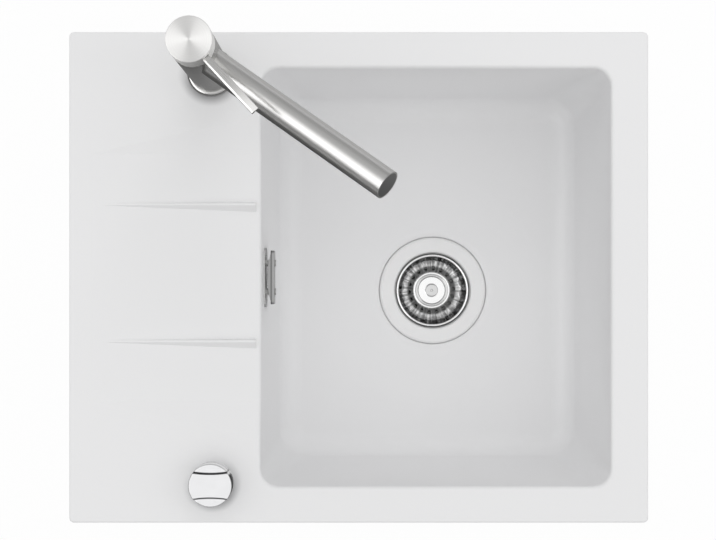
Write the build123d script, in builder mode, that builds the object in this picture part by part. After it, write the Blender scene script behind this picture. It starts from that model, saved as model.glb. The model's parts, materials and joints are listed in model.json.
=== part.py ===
from build123d import *

import os
from math import atan2, cos, degrees, radians, sin

os.makedirs("parts", exist_ok=True)

# Kitchen sink with drainboard, bowl at the right, tap at the rear left and a pop-up knob
# at the front left. Millimetres. The origin is the centre of the sink's outline on the
# worktop's surface: +X to the right, +Y to the rear wall, +Z up.

# ---------------------------------------------------------------- driving dimensions

# Rim and bowl
sink_length = 590
sink_width = 500
rim_height = 8
rim_corner = 5
rim_edge_round = 2
bowl_left = -100
bowl_right = 257
bowl_half_width = 213
bowl_depth = 190
bowl_draft_inset = 12
bowl_top_corner = 18
bowl_floor_corner = 34
bowl_floor_round = 26
bowl_lip_round = 4
wall = 9
deck_underside = -4
deck_boss_radius = 28
clearance = 0.3
hair = 0.05

# Drainboard
drainboard_left = -271
drainboard_fall = 6.5
drainboard_floor_half = 126
drainboard_slope_half = 165
rib_foot_width = 12
rib_rear_foot = 65
rib_front_foot = -74.5
underside_fall = 7.5

# Waste: a basket strainer lifted by a pin
drain_x = 86
drain_y = -15
floor_dish = 2.5
dish_radius = 128
seat_radius = 61.6
seat_depth = 7
seat_edge_round = 1.2
seat_dip_width = 8.5
seat_dip_depth = 2.6
drain_boss_radius = 66
throat_outer_radius = 43.8
throat_wall = 1.2
throat_gap = 1.2
basket_rim_radius = 41.9
basket_hole_count = 18
valve_hole_radius = 22
outlet_thread_radius = 23.9
outlet_bore_radius = 21
lift_arm_length = 14
lift_arm_swing = 36

# Overflow
overflow_z = -35
overflow_plate_length = 56
overflow_plate_height = 24
overflow_screw_spacing = 30
overflow_slot_length = 44
overflow_slot_height = 12
overflow_pocket = -99.5
overflow_back = -112
overflow_front = -87.6
overflow_rear_edge = -91.4
overflow_plate_steel = 1.2
overflow_lip_length = 50
overflow_lip_sag = 3.4
overflow_gasket_thickness = 2
overflow_gasket_width = 60
overflow_gasket_height = 30
overflow_gasket_corner = 6
overflow_pad_width = 64
overflow_pad_height = 34
overflow_pocket_margin = 3
overflow_pocket_corner = 7
overflow_screw_radius = 2

# Tap
tap_x = -150
tap_y = 208.5
tap_hole_radius = 17.5
tap_radius = 20.7
tap_top_height = 212
spout_azimuth = -36.4
spout_rise = 20
spout_reach = 215.8
spout_axis_height = 138
spout_radius = 13.6
spout_wall = 1.5
lever_azimuth = -47
lever_length = 85
lever_width = 7.6
lever_height = 6
cap_rear_gap = 8.5

# Pop-up knob
knob_x = -149.3
knob_y = -209.2
knob_radius = 21.8
knob_top_height = 24

# ---------------------------------------------------------------- worked-out values

rim_top = rim_height
floor_z = rim_top - bowl_depth
bowl_length = bowl_right - bowl_left
bowl_centre_x = (bowl_left + bowl_right) / 2
floor_underside = floor_z - wall
boss_underside = floor_underside - 5
seat_z = floor_z - seat_depth


def side_plane(x, y):
    """A standing drawing plane through (x, y): its local x is a radius and its local y a height."""
    return Plane(origin=(x, y, 0), x_dir=(1, 0, 0), z_dir=(0, -1, 0))


def upright(x, y):
    """The vertical axis through (x, y)."""
    return Axis((x, y, 0), (0, 0, 1))


def half_section(plane, *corners):
    """The closed half outline of a turned piece, from its corners as (radius, height)."""
    with BuildSketch(plane) as section:
        with BuildLine():
            Polyline(*corners, close=True)
        make_face()
    return section.sketch


def elbow_edges_at(builder, x):
    """The edges of a piece that lie in the plane at x."""
    return builder.edges().filter_by_position(Axis.X, x - 0.01, x + 0.01)


def save(builder, name):
    """Label a finished piece and write its file."""
    builder.part.label = name
    export_step(builder.part, f"parts/{name}.step")


drain_plane = side_plane(drain_x, drain_y)
drain_axis = upright(drain_x, drain_y)
tap_plane = side_plane(tap_x, tap_y)
tap_axis = upright(tap_x, tap_y)
knob_plane = side_plane(knob_x, knob_y)
knob_axis = upright(knob_x, knob_y)

# ---------------------------------------------------------------- sink body

clip_reach = 16
lug_depth = 10
lug_width = 30
lug_height = 16
lug_slot_z = -9
clip_width = 18
clip_steel = 1.6
clip_drop = 46
clip_screw_out = 11.5
clip_screw_radius = 2.5
clip_screw_foot = -clip_drop - 18
clip_screw_length = 24
clip_screw_head_radius = 5
clip_screw_head_height = 3.5
clip_tab = 6
clip_toe = 3
clip_gap = 0.2
lug_slot_depth = 8
side_lug_x = 276
end_lug_y = 232
seal_width = 6
seal_depth = 2
seal_inset = 2

# Every clip place faces outwards along its own local X.
clip_places = [
    Location((20, end_lug_y, 0), (0, 0, 90)),
    Location((200, end_lug_y, 0), (0, 0, 90)),
    Location((20, -end_lug_y, 0), (0, 0, -90)),
    Location((200, -end_lug_y, 0), (0, 0, -90)),
    Location((side_lug_x, 0, 0), (0, 0, 0)),
    Location((-side_lug_x, 0, 0), (0, 0, 180)),
]

# The hollow of the bowl: drafted walls, a large floor radius and a floor dished to the waste,
# which dips softly towards the seat of the waste.
floor_slope = floor_dish / (dish_radius - seat_radius)
with BuildPart() as bowl_hollow:
    with BuildSketch(Plane.XY.offset(rim_top)):
        with Locations((bowl_centre_x, 0)):
            RectangleRounded(bowl_length, 2 * bowl_half_width, bowl_top_corner)
    with BuildSketch(Plane.XY.offset(floor_z)):
        with Locations((bowl_centre_x, 0)):
            RectangleRounded(
                bowl_length - 2 * bowl_draft_inset,
                2 * bowl_half_width - 2 * bowl_draft_inset,
                bowl_floor_corner,
            )
    loft(ruled=True)
    fillet(bowl_hollow.edges().group_by(Axis.Z)[0], radius=bowl_floor_round)
    with BuildSketch(drain_plane):
        with BuildLine():
            dip_start = (
                seat_radius + seat_dip_width,
                floor_z - floor_dish + floor_slope * seat_dip_width,
            )
            dip_end = (seat_radius, dip_start[1] - seat_dip_depth)
            Polyline((0, floor_z + 1), (dish_radius, floor_z + 1), (dish_radius, floor_z), dip_start)
            TangentArc(dip_start, dip_end, tangent=(-1, -floor_slope))
            Polyline(dip_end, (0, dip_end[1]), (0, floor_z + 1))
        make_face()
    revolve(axis=drain_axis)

# The wedge cut out of the deck for the drainboard: a floor that falls to the bowl between
# two sloped flanks, all running out to nothing at the left.
drainboard_right = bowl_left + wall
drainboard_slope = drainboard_fall / (bowl_left - drainboard_left)


def flank_plane(side):
    """The plane of one flank, through the drainboard's left end and the crease beside the floor."""
    crease_start = Vector(drainboard_left, side * drainboard_floor_half, rim_top)
    crease_end = Vector(bowl_left, side * drainboard_floor_half, rim_top - drainboard_fall)
    top_end = Vector(bowl_left, side * drainboard_slope_half, rim_top)
    crease = (crease_end - crease_start).normalized()
    normal = crease.cross(top_end - crease_start).normalized()
    if normal.Z < 0:
        normal = normal * -1
    return Plane(origin=crease_start, x_dir=crease, z_dir=normal)


with BuildPart() as drainboard_cut:
    with BuildSketch(Plane.XZ):
        with BuildLine():
            Polyline(
                (drainboard_left, rim_top),
                (drainboard_right, rim_top - drainboard_slope * (drainboard_right - drainboard_left)),
                (drainboard_right, rim_top + 20),
                (drainboard_left, rim_top + 20),
                close=True,
            )
        make_face()
    extrude(amount=drainboard_slope_half + 10, both=True)
    split(bisect_by=flank_plane(1), keep=Keep.TOP)
    split(bisect_by=flank_plane(-1), keep=Keep.TOP)

# A draining rib has a steep rear side and a long slope to the front, and stays at rim level
# while the floor falls away beside it.
rib_top = rim_top - 0.3
rib_crest = 2
rib_steep_side = 1.6
rib_end = bowl_left - bowl_lip_round - 1


def rib_section(front_foot):
    """The cross-section of one rib at the bowl end, in the plane across the drainboard."""
    with BuildSketch(Plane(origin=(rib_end, 0, 0), x_dir=(0, 1, 0), z_dir=(1, 0, 0))) as section:
        with BuildLine():
            Polyline(
                (front_foot, 0),
                (front_foot + rib_foot_width - rib_steep_side - rib_crest, rib_top),
                (front_foot + rib_foot_width - rib_steep_side, rib_top),
                (front_foot + rib_foot_width, 0),
                close=True,
            )
        make_face()
    return section.sketch


with BuildPart() as sink_body:
    with BuildSketch(Plane.XY):
        RectangleRounded(sink_length, sink_width, rim_corner)
    extrude(amount=rim_height)
    fillet(sink_body.faces().sort_by(Axis.Z)[-1].edges(), radius=rim_edge_round)
    # The drainboard's falling underside
    with BuildSketch(Plane.XZ):
        with BuildLine():
            Polyline(
                (drainboard_left - 4, 1),
                (drainboard_left - 4, 0),
                (bowl_left, -underside_fall),
                (bowl_left, 1),
                close=True,
            )
        make_face()
    extrude(amount=drainboard_slope_half + 5, both=True)
    # The bowl's outside
    with BuildSketch(Plane.XY.offset(1)):
        with Locations((bowl_centre_x, 0)):
            RectangleRounded(bowl_length + 2 * wall, 2 * (bowl_half_width + wall), bowl_top_corner + wall)
    with BuildSketch(Plane.XY.offset(floor_underside)):
        with Locations((bowl_centre_x, 0)):
            RectangleRounded(
                bowl_length + 2 * (wall - bowl_draft_inset),
                2 * (bowl_half_width + wall - bowl_draft_inset),
                bowl_floor_corner + wall,
            )
    loft(ruled=True)
    fillet(sink_body.edges().group_by(Axis.Z)[0], radius=bowl_floor_round + wall)
    # Bosses round the waste, the tap hole and the knob hole
    with Locations((drain_x, drain_y, boss_underside)):
        Cylinder(drain_boss_radius, wall, align=(Align.CENTER, Align.CENTER, Align.MIN))
    with Locations((tap_x, tap_y, deck_underside), (knob_x, knob_y, deck_underside)):
        Cylinder(
            deck_boss_radius,
            rim_top / 2 - deck_underside,
            align=(Align.CENTER, Align.CENTER, Align.MIN),
        )
    # The flat pad behind the overflow
    with Locations((overflow_back, 0, overflow_z)):
        Box(
            wall - 1,
            overflow_pad_width,
            overflow_pad_height,
            align=(Align.MIN, Align.CENTER, Align.CENTER),
        )
    # Lugs for the fixing clips
    with Locations(*clip_places):
        Box(lug_depth + 4, lug_width, lug_height + 1, align=(Align.MAX, Align.CENTER, Align.MAX))
    add(drainboard_cut.part, mode=Mode.SUBTRACT)
    for rib_foot in (rib_rear_foot, rib_front_foot):
        extrude(rib_section(rib_foot), amount=drainboard_left - rib_end)
    add(bowl_hollow.part, mode=Mode.SUBTRACT)
    # The rounded lip all round the bowl's mouth, at rim level and along the lower drainboard edge
    mouth_edges = (
        sink_body.edges()
        .filter_by(lambda edge: edge.bounding_box().min.Z > rim_top - drainboard_fall - 1)
        .filter_by(lambda edge: edge.bounding_box().min.X > bowl_left - hair)
        .filter_by(lambda edge: edge.bounding_box().max.X < bowl_right + hair)
        .filter_by(lambda edge: edge.bounding_box().max.Y < bowl_half_width + hair)
        .filter_by(lambda edge: edge.bounding_box().min.Y > -bowl_half_width - hair)
    )
    fillet(mouth_edges, radius=bowl_lip_round)
    # The seat and the hole of the waste, with a soft upper edge
    with Locations((drain_x, drain_y, seat_z)):
        Cylinder(
            seat_radius,
            seat_depth + 1,
            align=(Align.CENTER, Align.CENTER, Align.MIN),
            mode=Mode.SUBTRACT,
        )
        Cylinder(throat_outer_radius + throat_gap, 60, mode=Mode.SUBTRACT)
    seat_edges = (
        sink_body.edges()
        .filter_by(GeomType.CIRCLE)
        .filter_by(lambda edge: abs(edge.radius - seat_radius) < hair)
    )
    fillet(seat_edges.sort_by(Axis.Z)[-1], radius=seat_edge_round)
    # The tap hole and the knob hole
    with Locations((tap_x, tap_y, 0), (knob_x, knob_y, 0)):
        Cylinder(tap_hole_radius, 40, mode=Mode.SUBTRACT)
    # The overflow's slot, and the shallow pocket in the bowl's wall round it
    with BuildSketch(Plane.YZ.offset(overflow_back)):
        with Locations((0, overflow_z)):
            SlotOverall(overflow_slot_length, overflow_slot_height)
    extrude(amount=30, mode=Mode.SUBTRACT)
    with BuildSketch(Plane.YZ.offset(overflow_pocket)):
        with Locations((0, overflow_z)):
            RectangleRounded(
                overflow_plate_length + 2 * overflow_pocket_margin,
                overflow_plate_height + 2 * overflow_pocket_margin,
                overflow_pocket_corner,
            )
    extrude(amount=12, mode=Mode.SUBTRACT)
    # The groove of the sealing tape under the rim
    with BuildSketch(Plane.XY):
        Rectangle(sink_length - 2 * seal_inset, sink_width - 2 * seal_inset)
        Rectangle(
            sink_length - 2 * (seal_inset + seal_width),
            sink_width - 2 * (seal_inset + seal_width),
            mode=Mode.SUBTRACT,
        )
    extrude(amount=seal_depth, mode=Mode.SUBTRACT)
    # The slots that the clips hook into
    with Locations(*clip_places):
        with Locations((0, 0, lug_slot_z)):
            Box(
                lug_slot_depth,
                clip_width + 2,
                clip_steel + 0.8,
                align=(Align.MAX, Align.CENTER, Align.CENTER),
                mode=Mode.SUBTRACT,
            )
save(sink_body, "sink_body")

with BuildPart() as rim_seal:
    with BuildSketch(Plane.XY):
        Rectangle(sink_length - 2 * seal_inset - 0.4, sink_width - 2 * seal_inset - 0.4)
        Rectangle(
            sink_length - 2 * (seal_inset + seal_width) + 0.4,
            sink_width - 2 * (seal_inset + seal_width) + 0.4,
            mode=Mode.SUBTRACT,
        )
    extrude(amount=seal_depth)
save(rim_seal, "rim_seal")

# A clip is one bent strip: a tab in the lug's slot, a leg down and an arm out under the worktop.
with BuildPart(mode=Mode.PRIVATE) as one_clip:
    with BuildSketch(Plane.XZ):
        with BuildLine():
            Polyline(
                (-clip_tab, lug_slot_z - clip_steel / 2),
                (clip_gap, lug_slot_z - clip_steel / 2),
                (clip_gap, -clip_drop - clip_steel),
                (clip_reach, -clip_drop - clip_steel),
                (clip_reach, -clip_drop + clip_toe),
                (clip_reach - clip_steel, -clip_drop + clip_toe),
                (clip_reach - clip_steel, -clip_drop),
                (clip_gap + clip_steel, -clip_drop),
                (clip_gap + clip_steel, lug_slot_z + clip_steel / 2),
                (-clip_tab, lug_slot_z + clip_steel / 2),
                close=True,
            )
        make_face()
    extrude(amount=clip_width / 2, both=True)
    with Locations((clip_screw_out, 0, -clip_drop)):
        Cylinder(clip_screw_radius + hair, 20, mode=Mode.SUBTRACT)
    # The long hole that makes the leg springy
    with Locations((clip_gap + clip_steel / 2, 0, -clip_drop / 2 - 4)):
        Box(4, clip_width / 3, clip_width, mode=Mode.SUBTRACT)

with BuildPart() as fixing_clips:
    with Locations(*clip_places):
        add(one_clip.part)
save(fixing_clips, "fixing_clips")

with BuildPart(mode=Mode.PRIVATE) as one_clip_screw:
    with BuildSketch(Plane.XY.offset(clip_screw_foot)):
        with Locations((clip_screw_out, 0)):
            Circle(clip_screw_radius)
    extrude(amount=clip_screw_length)
    with BuildSketch(Plane.XY.offset(clip_screw_foot)):
        with Locations((clip_screw_out, 0)):
            RegularPolygon(clip_screw_head_radius, 6)
    extrude(amount=-clip_screw_head_height)

with BuildPart() as clip_screws:
    with Locations(*clip_places):
        add(one_clip_screw.part)
save(clip_screws, "clip_screws")

# ---------------------------------------------------------------- overflow

overflow_screw_places = [
    (overflow_screw_spacing / 2, overflow_z),
    (-overflow_screw_spacing / 2, overflow_z),
]

screw_post_radius = 3.5

overflow_seat = overflow_front - overflow_plate_steel
overflow_screw_head = 1.2
plate_corner = 3
lip_thickness = 1
lip_root = 0.8
lip_drop = overflow_plate_steel - 0.4
plate_edge_round = overflow_plate_steel - 0.4
screw_slot_width = 0.9
lip_radius = overflow_lip_sag / 2 + (overflow_lip_length / 2) ** 2 / (2 * overflow_lip_sag)

# The cover hides the slot: a pressed tray, open to the wall, that stands on two posts. A curved
# lip behind its upper wall keeps food off the slot.
with BuildPart() as overflow_plate:
    with BuildSketch(Plane.YZ.offset(overflow_rear_edge)):
        with Locations((0, overflow_z)):
            RectangleRounded(overflow_plate_length, overflow_plate_height, plate_corner)
    extrude(amount=overflow_front - overflow_rear_edge)
    fillet(overflow_plate.faces().sort_by(Axis.X)[-1].edges(), radius=plate_edge_round)
    with BuildSketch(Plane.YZ.offset(overflow_rear_edge)):
        with Locations((0, overflow_z)):
            RectangleRounded(
                overflow_plate_length - 2 * overflow_plate_steel,
                overflow_plate_height - 2 * overflow_plate_steel,
                plate_corner - overflow_plate_steel,
            )
    extrude(amount=overflow_seat - overflow_rear_edge, mode=Mode.SUBTRACT)
    with BuildSketch(Plane.XY.offset(overflow_z + overflow_plate_height / 2 - lip_drop)):
        with Locations((overflow_rear_edge - overflow_lip_sag + lip_radius, 0)):
            Circle(lip_radius)
        with Locations((overflow_rear_edge + lip_root, 0)):
            Rectangle(
                overflow_lip_sag + lip_root,
                overflow_lip_length,
                align=(Align.MAX, Align.CENTER),
                mode=Mode.INTERSECT,
            )
    extrude(amount=-lip_thickness)
    with BuildSketch(Plane.YZ.offset(overflow_seat)):
        with Locations(*overflow_screw_places):
            Circle(overflow_screw_radius + 0.1)
    extrude(amount=overflow_plate_steel, mode=Mode.SUBTRACT)
save(overflow_plate, "overflow_plate")

with BuildPart() as overflow_insert:
    with BuildSketch(Plane.YZ.offset(overflow_pocket)):
        with Locations((0, overflow_z)):
            RectangleRounded(overflow_plate_length, overflow_plate_height, 4)
            SlotOverall(overflow_slot_length, overflow_slot_height, mode=Mode.SUBTRACT)
        with Locations(*overflow_screw_places):
            Rectangle(screw_post_radius * 2, overflow_slot_height + 2)
    extrude(amount=2)
    with BuildSketch(Plane.YZ.offset(overflow_pocket)):
        with Locations(*overflow_screw_places):
            Circle(screw_post_radius)
    extrude(amount=overflow_seat - overflow_pocket)
    with BuildSketch(Plane.YZ.offset(overflow_pocket)):
        with Locations(*overflow_screw_places):
            Circle(overflow_screw_radius + 0.1)
    extrude(amount=overflow_seat - overflow_pocket, mode=Mode.SUBTRACT)
save(overflow_insert, "overflow_insert")

with BuildPart() as overflow_gasket:
    with BuildSketch(Plane.YZ.offset(overflow_back)):
        with Locations((0, overflow_z)):
            RectangleRounded(overflow_gasket_width, overflow_gasket_height, overflow_gasket_corner)
            SlotOverall(overflow_slot_length, overflow_slot_height, mode=Mode.SUBTRACT)
    extrude(amount=-overflow_gasket_thickness)
save(overflow_gasket, "overflow_gasket")

elbow_face = overflow_back - overflow_gasket_thickness
elbow_depth = 24
elbow_flange = 4
elbow_wall = 3
elbow_body_width = 48
elbow_body_height = 24
elbow_socket_depth = 14
screw_web_width = 6
screw_web_depth = 10
overflow_pipe_x = elbow_face - elbow_depth / 2
overflow_pipe_outer = 10
overflow_pipe_inner = 8
elbow_spigot_bottom = -84

with BuildPart() as overflow_elbow:
    with BuildSketch(Plane.YZ.offset(elbow_face)):
        with Locations((0, overflow_z)):
            RectangleRounded(overflow_gasket_width, overflow_gasket_height, overflow_gasket_corner)
    extrude(amount=-elbow_flange)
    with BuildSketch(Plane.YZ.offset(elbow_face)):
        with Locations((0, overflow_z)):
            RectangleRounded(elbow_body_width, elbow_body_height, 9)
    extrude(amount=-elbow_depth)
    fillet(elbow_edges_at(overflow_elbow, elbow_face - elbow_depth), radius=6)
    with Locations((overflow_pipe_x, 0, overflow_z)):
        Cylinder(
            overflow_pipe_outer + 1.5,
            overflow_z - elbow_spigot_bottom,
            align=(Align.CENTER, Align.CENTER, Align.MAX),
        )
    with BuildSketch(Plane.YZ.offset(elbow_face)):
        with Locations((0, overflow_z)):
            SlotOverall(overflow_slot_length, overflow_slot_height)
    extrude(amount=-elbow_depth + elbow_wall, mode=Mode.SUBTRACT)
    with Locations((overflow_pipe_x, 0, overflow_z)):
        Cylinder(
            overflow_pipe_inner,
            overflow_z - elbow_spigot_bottom,
            align=(Align.CENTER, Align.CENTER, Align.MAX),
            mode=Mode.SUBTRACT,
        )
    # The pipe's socket at the bottom of the spigot
    with Locations((overflow_pipe_x, 0, elbow_spigot_bottom)):
        Cylinder(
            overflow_pipe_outer,
            elbow_socket_depth,
            align=(Align.CENTER, Align.CENTER, Align.MIN),
            mode=Mode.SUBTRACT,
        )
    # Two webs across the mouth carry the screws
    with BuildSketch(Plane.YZ.offset(elbow_face)):
        with Locations(*overflow_screw_places):
            Rectangle(screw_web_width, overflow_slot_height + 2)
    extrude(amount=-screw_web_depth)
    with BuildSketch(Plane.YZ.offset(elbow_face)):
        with Locations(*overflow_screw_places):
            Circle(overflow_screw_radius + hair)
    extrude(amount=-screw_web_depth, mode=Mode.SUBTRACT)
save(overflow_elbow, "overflow_elbow")

with BuildPart() as overflow_screws:
    with BuildSketch(Plane.YZ.offset(overflow_front)):
        with Locations(*overflow_screw_places):
            Circle(overflow_screw_radius)
    extrude(amount=elbow_face - screw_web_depth + 1 - overflow_front)
    with BuildSketch(Plane.YZ.offset(overflow_front)):
        with Locations(*overflow_screw_places):
            Circle(overflow_screw_radius + 1.6)
    extrude(amount=overflow_screw_head)
    # The screwdriver slots
    with BuildSketch(Plane.YZ.offset(overflow_front + overflow_screw_head / 2)):
        with Locations(*overflow_screw_places):
            Rectangle(5, screw_slot_width)
    extrude(amount=overflow_screw_head, mode=Mode.SUBTRACT)
save(overflow_screws, "overflow_screws")

# ---------------------------------------------------------------- waste

flange_radius = 58.5
upper_seal_thickness = 1
flange_z = seat_z + upper_seal_thickness
throat_inner_radius = throat_outer_radius - throat_wall
throat_bottom = boss_underside - 18
valve_seat_z = boss_underside - 36
neck_bottom = valve_seat_z - 15
trim_top = floor_z - floor_dish + 0.8

with BuildPart() as strainer_upper_seal:
    with Locations((drain_x, drain_y, seat_z)):
        Cylinder(
            flange_radius - 1,
            upper_seal_thickness,
            align=(Align.CENTER, Align.CENTER, Align.MIN),
        )
        Cylinder(throat_outer_radius + throat_gap, 20, mode=Mode.SUBTRACT)
save(strainer_upper_seal, "strainer_upper_seal")

# The pressed steel cup: flange, straight throat, cone, flat valve seat and threaded neck.
with BuildPart() as strainer_body:
    revolve(
        half_section(
            drain_plane,
            (flange_radius, flange_z),
            (flange_radius, flange_z + throat_wall),
            (throat_inner_radius + 1, flange_z + throat_wall),
            (throat_inner_radius, flange_z + throat_wall - 1),
            (throat_inner_radius, throat_bottom),
            (valve_hole_radius + 8, valve_seat_z + throat_wall),
            (valve_hole_radius, valve_seat_z + throat_wall),
            (valve_hole_radius, valve_seat_z),
            (outlet_bore_radius, valve_seat_z - 1),
            (outlet_bore_radius, neck_bottom),
            (outlet_thread_radius, neck_bottom),
            (outlet_thread_radius, valve_seat_z),
            (valve_hole_radius + 8.5, valve_seat_z),
            (throat_outer_radius, throat_bottom - 0.4),
            (throat_outer_radius, flange_z),
        ),
        axis=drain_axis,
    )
save(strainer_body, "strainer_body")

# The white ring seen round the strainer: a cover over the steel flange, rounded at both edges.
ring_inner_radius = throat_inner_radius + 1.2
ring_outer_radius = seat_radius - 0.7
ring_inner_round = 2.2
ring_outer_round = 3.5
ring_recess_radius = flange_radius + 0.2
with BuildPart() as drain_trim_ring:
    with BuildSketch(drain_plane):
        with BuildLine():
            inner_foot = (ring_inner_radius, flange_z + throat_wall)
            inner_top = (ring_inner_radius, trim_top - 2)
            crown_in = (ring_inner_radius + ring_inner_round, trim_top)
            crown_out = (ring_outer_radius - ring_outer_round, trim_top)
            outer_top = (ring_outer_radius, trim_top - 3)
            outer_foot = (ring_outer_radius, flange_z)
            Line(inner_foot, inner_top)
            TangentArc(inner_top, crown_in, tangent=(0, 1))
            Line(crown_in, crown_out)
            TangentArc(crown_out, outer_top, tangent=(1, 0))
            Line(outer_top, outer_foot)
            Line(outer_foot, (ring_recess_radius, flange_z))
            Line((ring_recess_radius, flange_z), (ring_recess_radius, flange_z + throat_wall))
            Line((ring_recess_radius, flange_z + throat_wall), inner_foot)
        make_face()
    revolve(axis=drain_axis)
save(drain_trim_ring, "drain_trim_ring")

lower_seal_thickness = 3
locknut_height = 9

with BuildPart() as strainer_lower_seal:
    with Locations((drain_x, drain_y, boss_underside)):
        Cylinder(
            flange_radius - 1,
            lower_seal_thickness,
            align=(Align.CENTER, Align.CENTER, Align.MAX),
        )
        Cylinder(throat_outer_radius + hair, 20, mode=Mode.SUBTRACT)
save(strainer_lower_seal, "strainer_lower_seal")

with BuildPart() as strainer_locknut:
    with BuildSketch(Plane.XY.offset(boss_underside - lower_seal_thickness)):
        with Locations((drain_x, drain_y)):
            Circle(throat_outer_radius + wall)
            with PolarLocations(throat_outer_radius + wall, 8):
                Rectangle(7, 10)
            Circle(throat_outer_radius + hair, mode=Mode.SUBTRACT)
    extrude(amount=-locknut_height)
save(strainer_locknut, "strainer_locknut")

# The removable basket
basket_steel = 0.9
basket_rim_z = trim_top - 3.5
basket_rim_bead = 1.6
basket_bend = 10.4
basket_depth = 24
basket_floor_z = basket_rim_z - basket_depth
basket_floor_radius = 27.5
hole_ring_radius = 25.2
basket_hole_length = 4.4
basket_hole_width = 3.4
cap_radius = 22.3
cap_edge_round = 2.3
cap_groove_radius = 17.2
cap_groove_half = 1.9
cap_button_radius = 7.4
cap_button_height = 2.6
cap_button_round = 1.2
cap_mark_radius = 1
cap_mark_depth = 0.6
lift_pin_top = neck_bottom + 3
stem_radius = 6

# A deep-drawn cup: a flat floor that bends up into a steep wall
with BuildPart() as strainer_basket:
    with BuildSketch(drain_plane):
        with BuildLine():
            bend_end = basket_floor_z + basket_bend
            wall_inside = basket_floor_radius + basket_bend
            wall_top_inside = basket_rim_radius - 2 * basket_rim_bead + hair
            wall_top_z = basket_rim_z - basket_rim_bead
            Line((0, basket_floor_z), (basket_floor_radius, basket_floor_z))
            TangentArc((basket_floor_radius, basket_floor_z), (wall_inside, bend_end), tangent=(1, 0))
            Polyline(
                (wall_inside, bend_end),
                (wall_top_inside, wall_top_z),
                (wall_top_inside + basket_steel, wall_top_z),
                (wall_inside + basket_steel, bend_end),
            )
            TangentArc(
                (wall_inside + basket_steel, bend_end),
                (basket_floor_radius, basket_floor_z - basket_steel),
                tangent=(0, -1),
            )
            Polyline(
                (basket_floor_radius, basket_floor_z - basket_steel),
                (0, basket_floor_z - basket_steel),
                (0, basket_floor_z),
            )
        make_face()
    revolve(axis=drain_axis)
    # The rolled rim
    with BuildSketch(drain_plane):
        with Locations((basket_rim_radius - basket_rim_bead, basket_rim_z - basket_rim_bead)):
            Circle(basket_rim_bead)
    revolve(axis=drain_axis)
    # The ring of drain holes round the cap
    with Locations((drain_x, drain_y, basket_floor_z)):
        with PolarLocations(hole_ring_radius, basket_hole_count):
            Box(basket_hole_length, basket_hole_width, 3, mode=Mode.SUBTRACT)
    with Locations((drain_x, drain_y, basket_floor_z)):
        Cylinder(stem_radius - 2, 10, mode=Mode.SUBTRACT)
save(strainer_basket, "strainer_basket")

# The polished cap over the basket's floor, with a rounded edge, a hollow ring and a finger
# button that has a small centre mark
cap_top_z = basket_floor_z + 5
button_top_z = cap_top_z + cap_button_height
with BuildPart() as basket_cap:
    with BuildSketch(drain_plane):
        with BuildLine():
            edge_side = (cap_radius, cap_top_z - cap_edge_round)
            edge_top = (cap_radius - cap_edge_round, cap_top_z)
            groove_outside = (cap_groove_radius + cap_groove_half, cap_top_z)
            groove_inside = (cap_groove_radius - cap_groove_half, cap_top_z)
            button_side = (cap_button_radius, button_top_z - cap_button_round)
            button_top = (cap_button_radius - cap_button_round, button_top_z)
            Polyline((0, basket_floor_z), (cap_radius, basket_floor_z), edge_side)
            TangentArc(edge_side, edge_top, tangent=(0, 1))
            Line(edge_top, groove_outside)
            ThreePointArc(groove_outside, (cap_groove_radius, cap_top_z - 0.8), groove_inside)
            Polyline(groove_inside, (cap_button_radius + 0.6, cap_top_z - 0.4), button_side)
            TangentArc(button_side, button_top, tangent=(0, 1))
            Polyline(
                button_top,
                (cap_mark_radius + cap_mark_depth, button_top_z),
                (cap_mark_radius, button_top_z - cap_mark_depth),
                (0, button_top_z - cap_mark_depth),
                (0, basket_floor_z),
            )
        make_face()
    revolve(axis=drain_axis)
save(basket_cap, "basket_cap")

# The plug's stem under the basket, screwed up into it, with the rubber valve disc
plug_z = valve_seat_z + throat_wall + 0.1
with BuildPart() as basket_stem:
    revolve(
        half_section(
            drain_plane,
            (0, lift_pin_top + hair),
            (stem_radius - 1, lift_pin_top + hair),
            (stem_radius, lift_pin_top + 1),
            (stem_radius, plug_z - 2.5),
            (valve_hole_radius - 3, plug_z - 2.5),
            (valve_hole_radius - 3, plug_z - 0.5),
            (stem_radius, plug_z - 0.5),
            (stem_radius, plug_z + 5),
            (stem_radius + 4, plug_z + 5),
            (stem_radius + 4, plug_z + 7),
            (stem_radius, plug_z + 7),
            (stem_radius, basket_floor_z - basket_steel),
            (stem_radius - 2, basket_floor_z - basket_steel),
            (stem_radius - 2, basket_floor_z),
            (0, basket_floor_z),
        ),
        axis=drain_axis,
    )
save(basket_stem, "basket_stem")

with BuildPart() as basket_valve_seal:
    revolve(
        half_section(
            drain_plane,
            (stem_radius, plug_z - 0.5),
            (valve_hole_radius - 1, plug_z - 0.5),
            (valve_hole_radius - 0.5, plug_z),
            (valve_hole_radius + 3.5, plug_z),
            (valve_hole_radius + 3.5, plug_z + 1.5),
            (stem_radius + 5, plug_z + 5),
            (stem_radius, plug_z + 5),
        ),
        axis=drain_axis,
    )
save(basket_valve_seal, "basket_valve_seal")

# ---------------------------------------------------------------- pop-up housing

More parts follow.
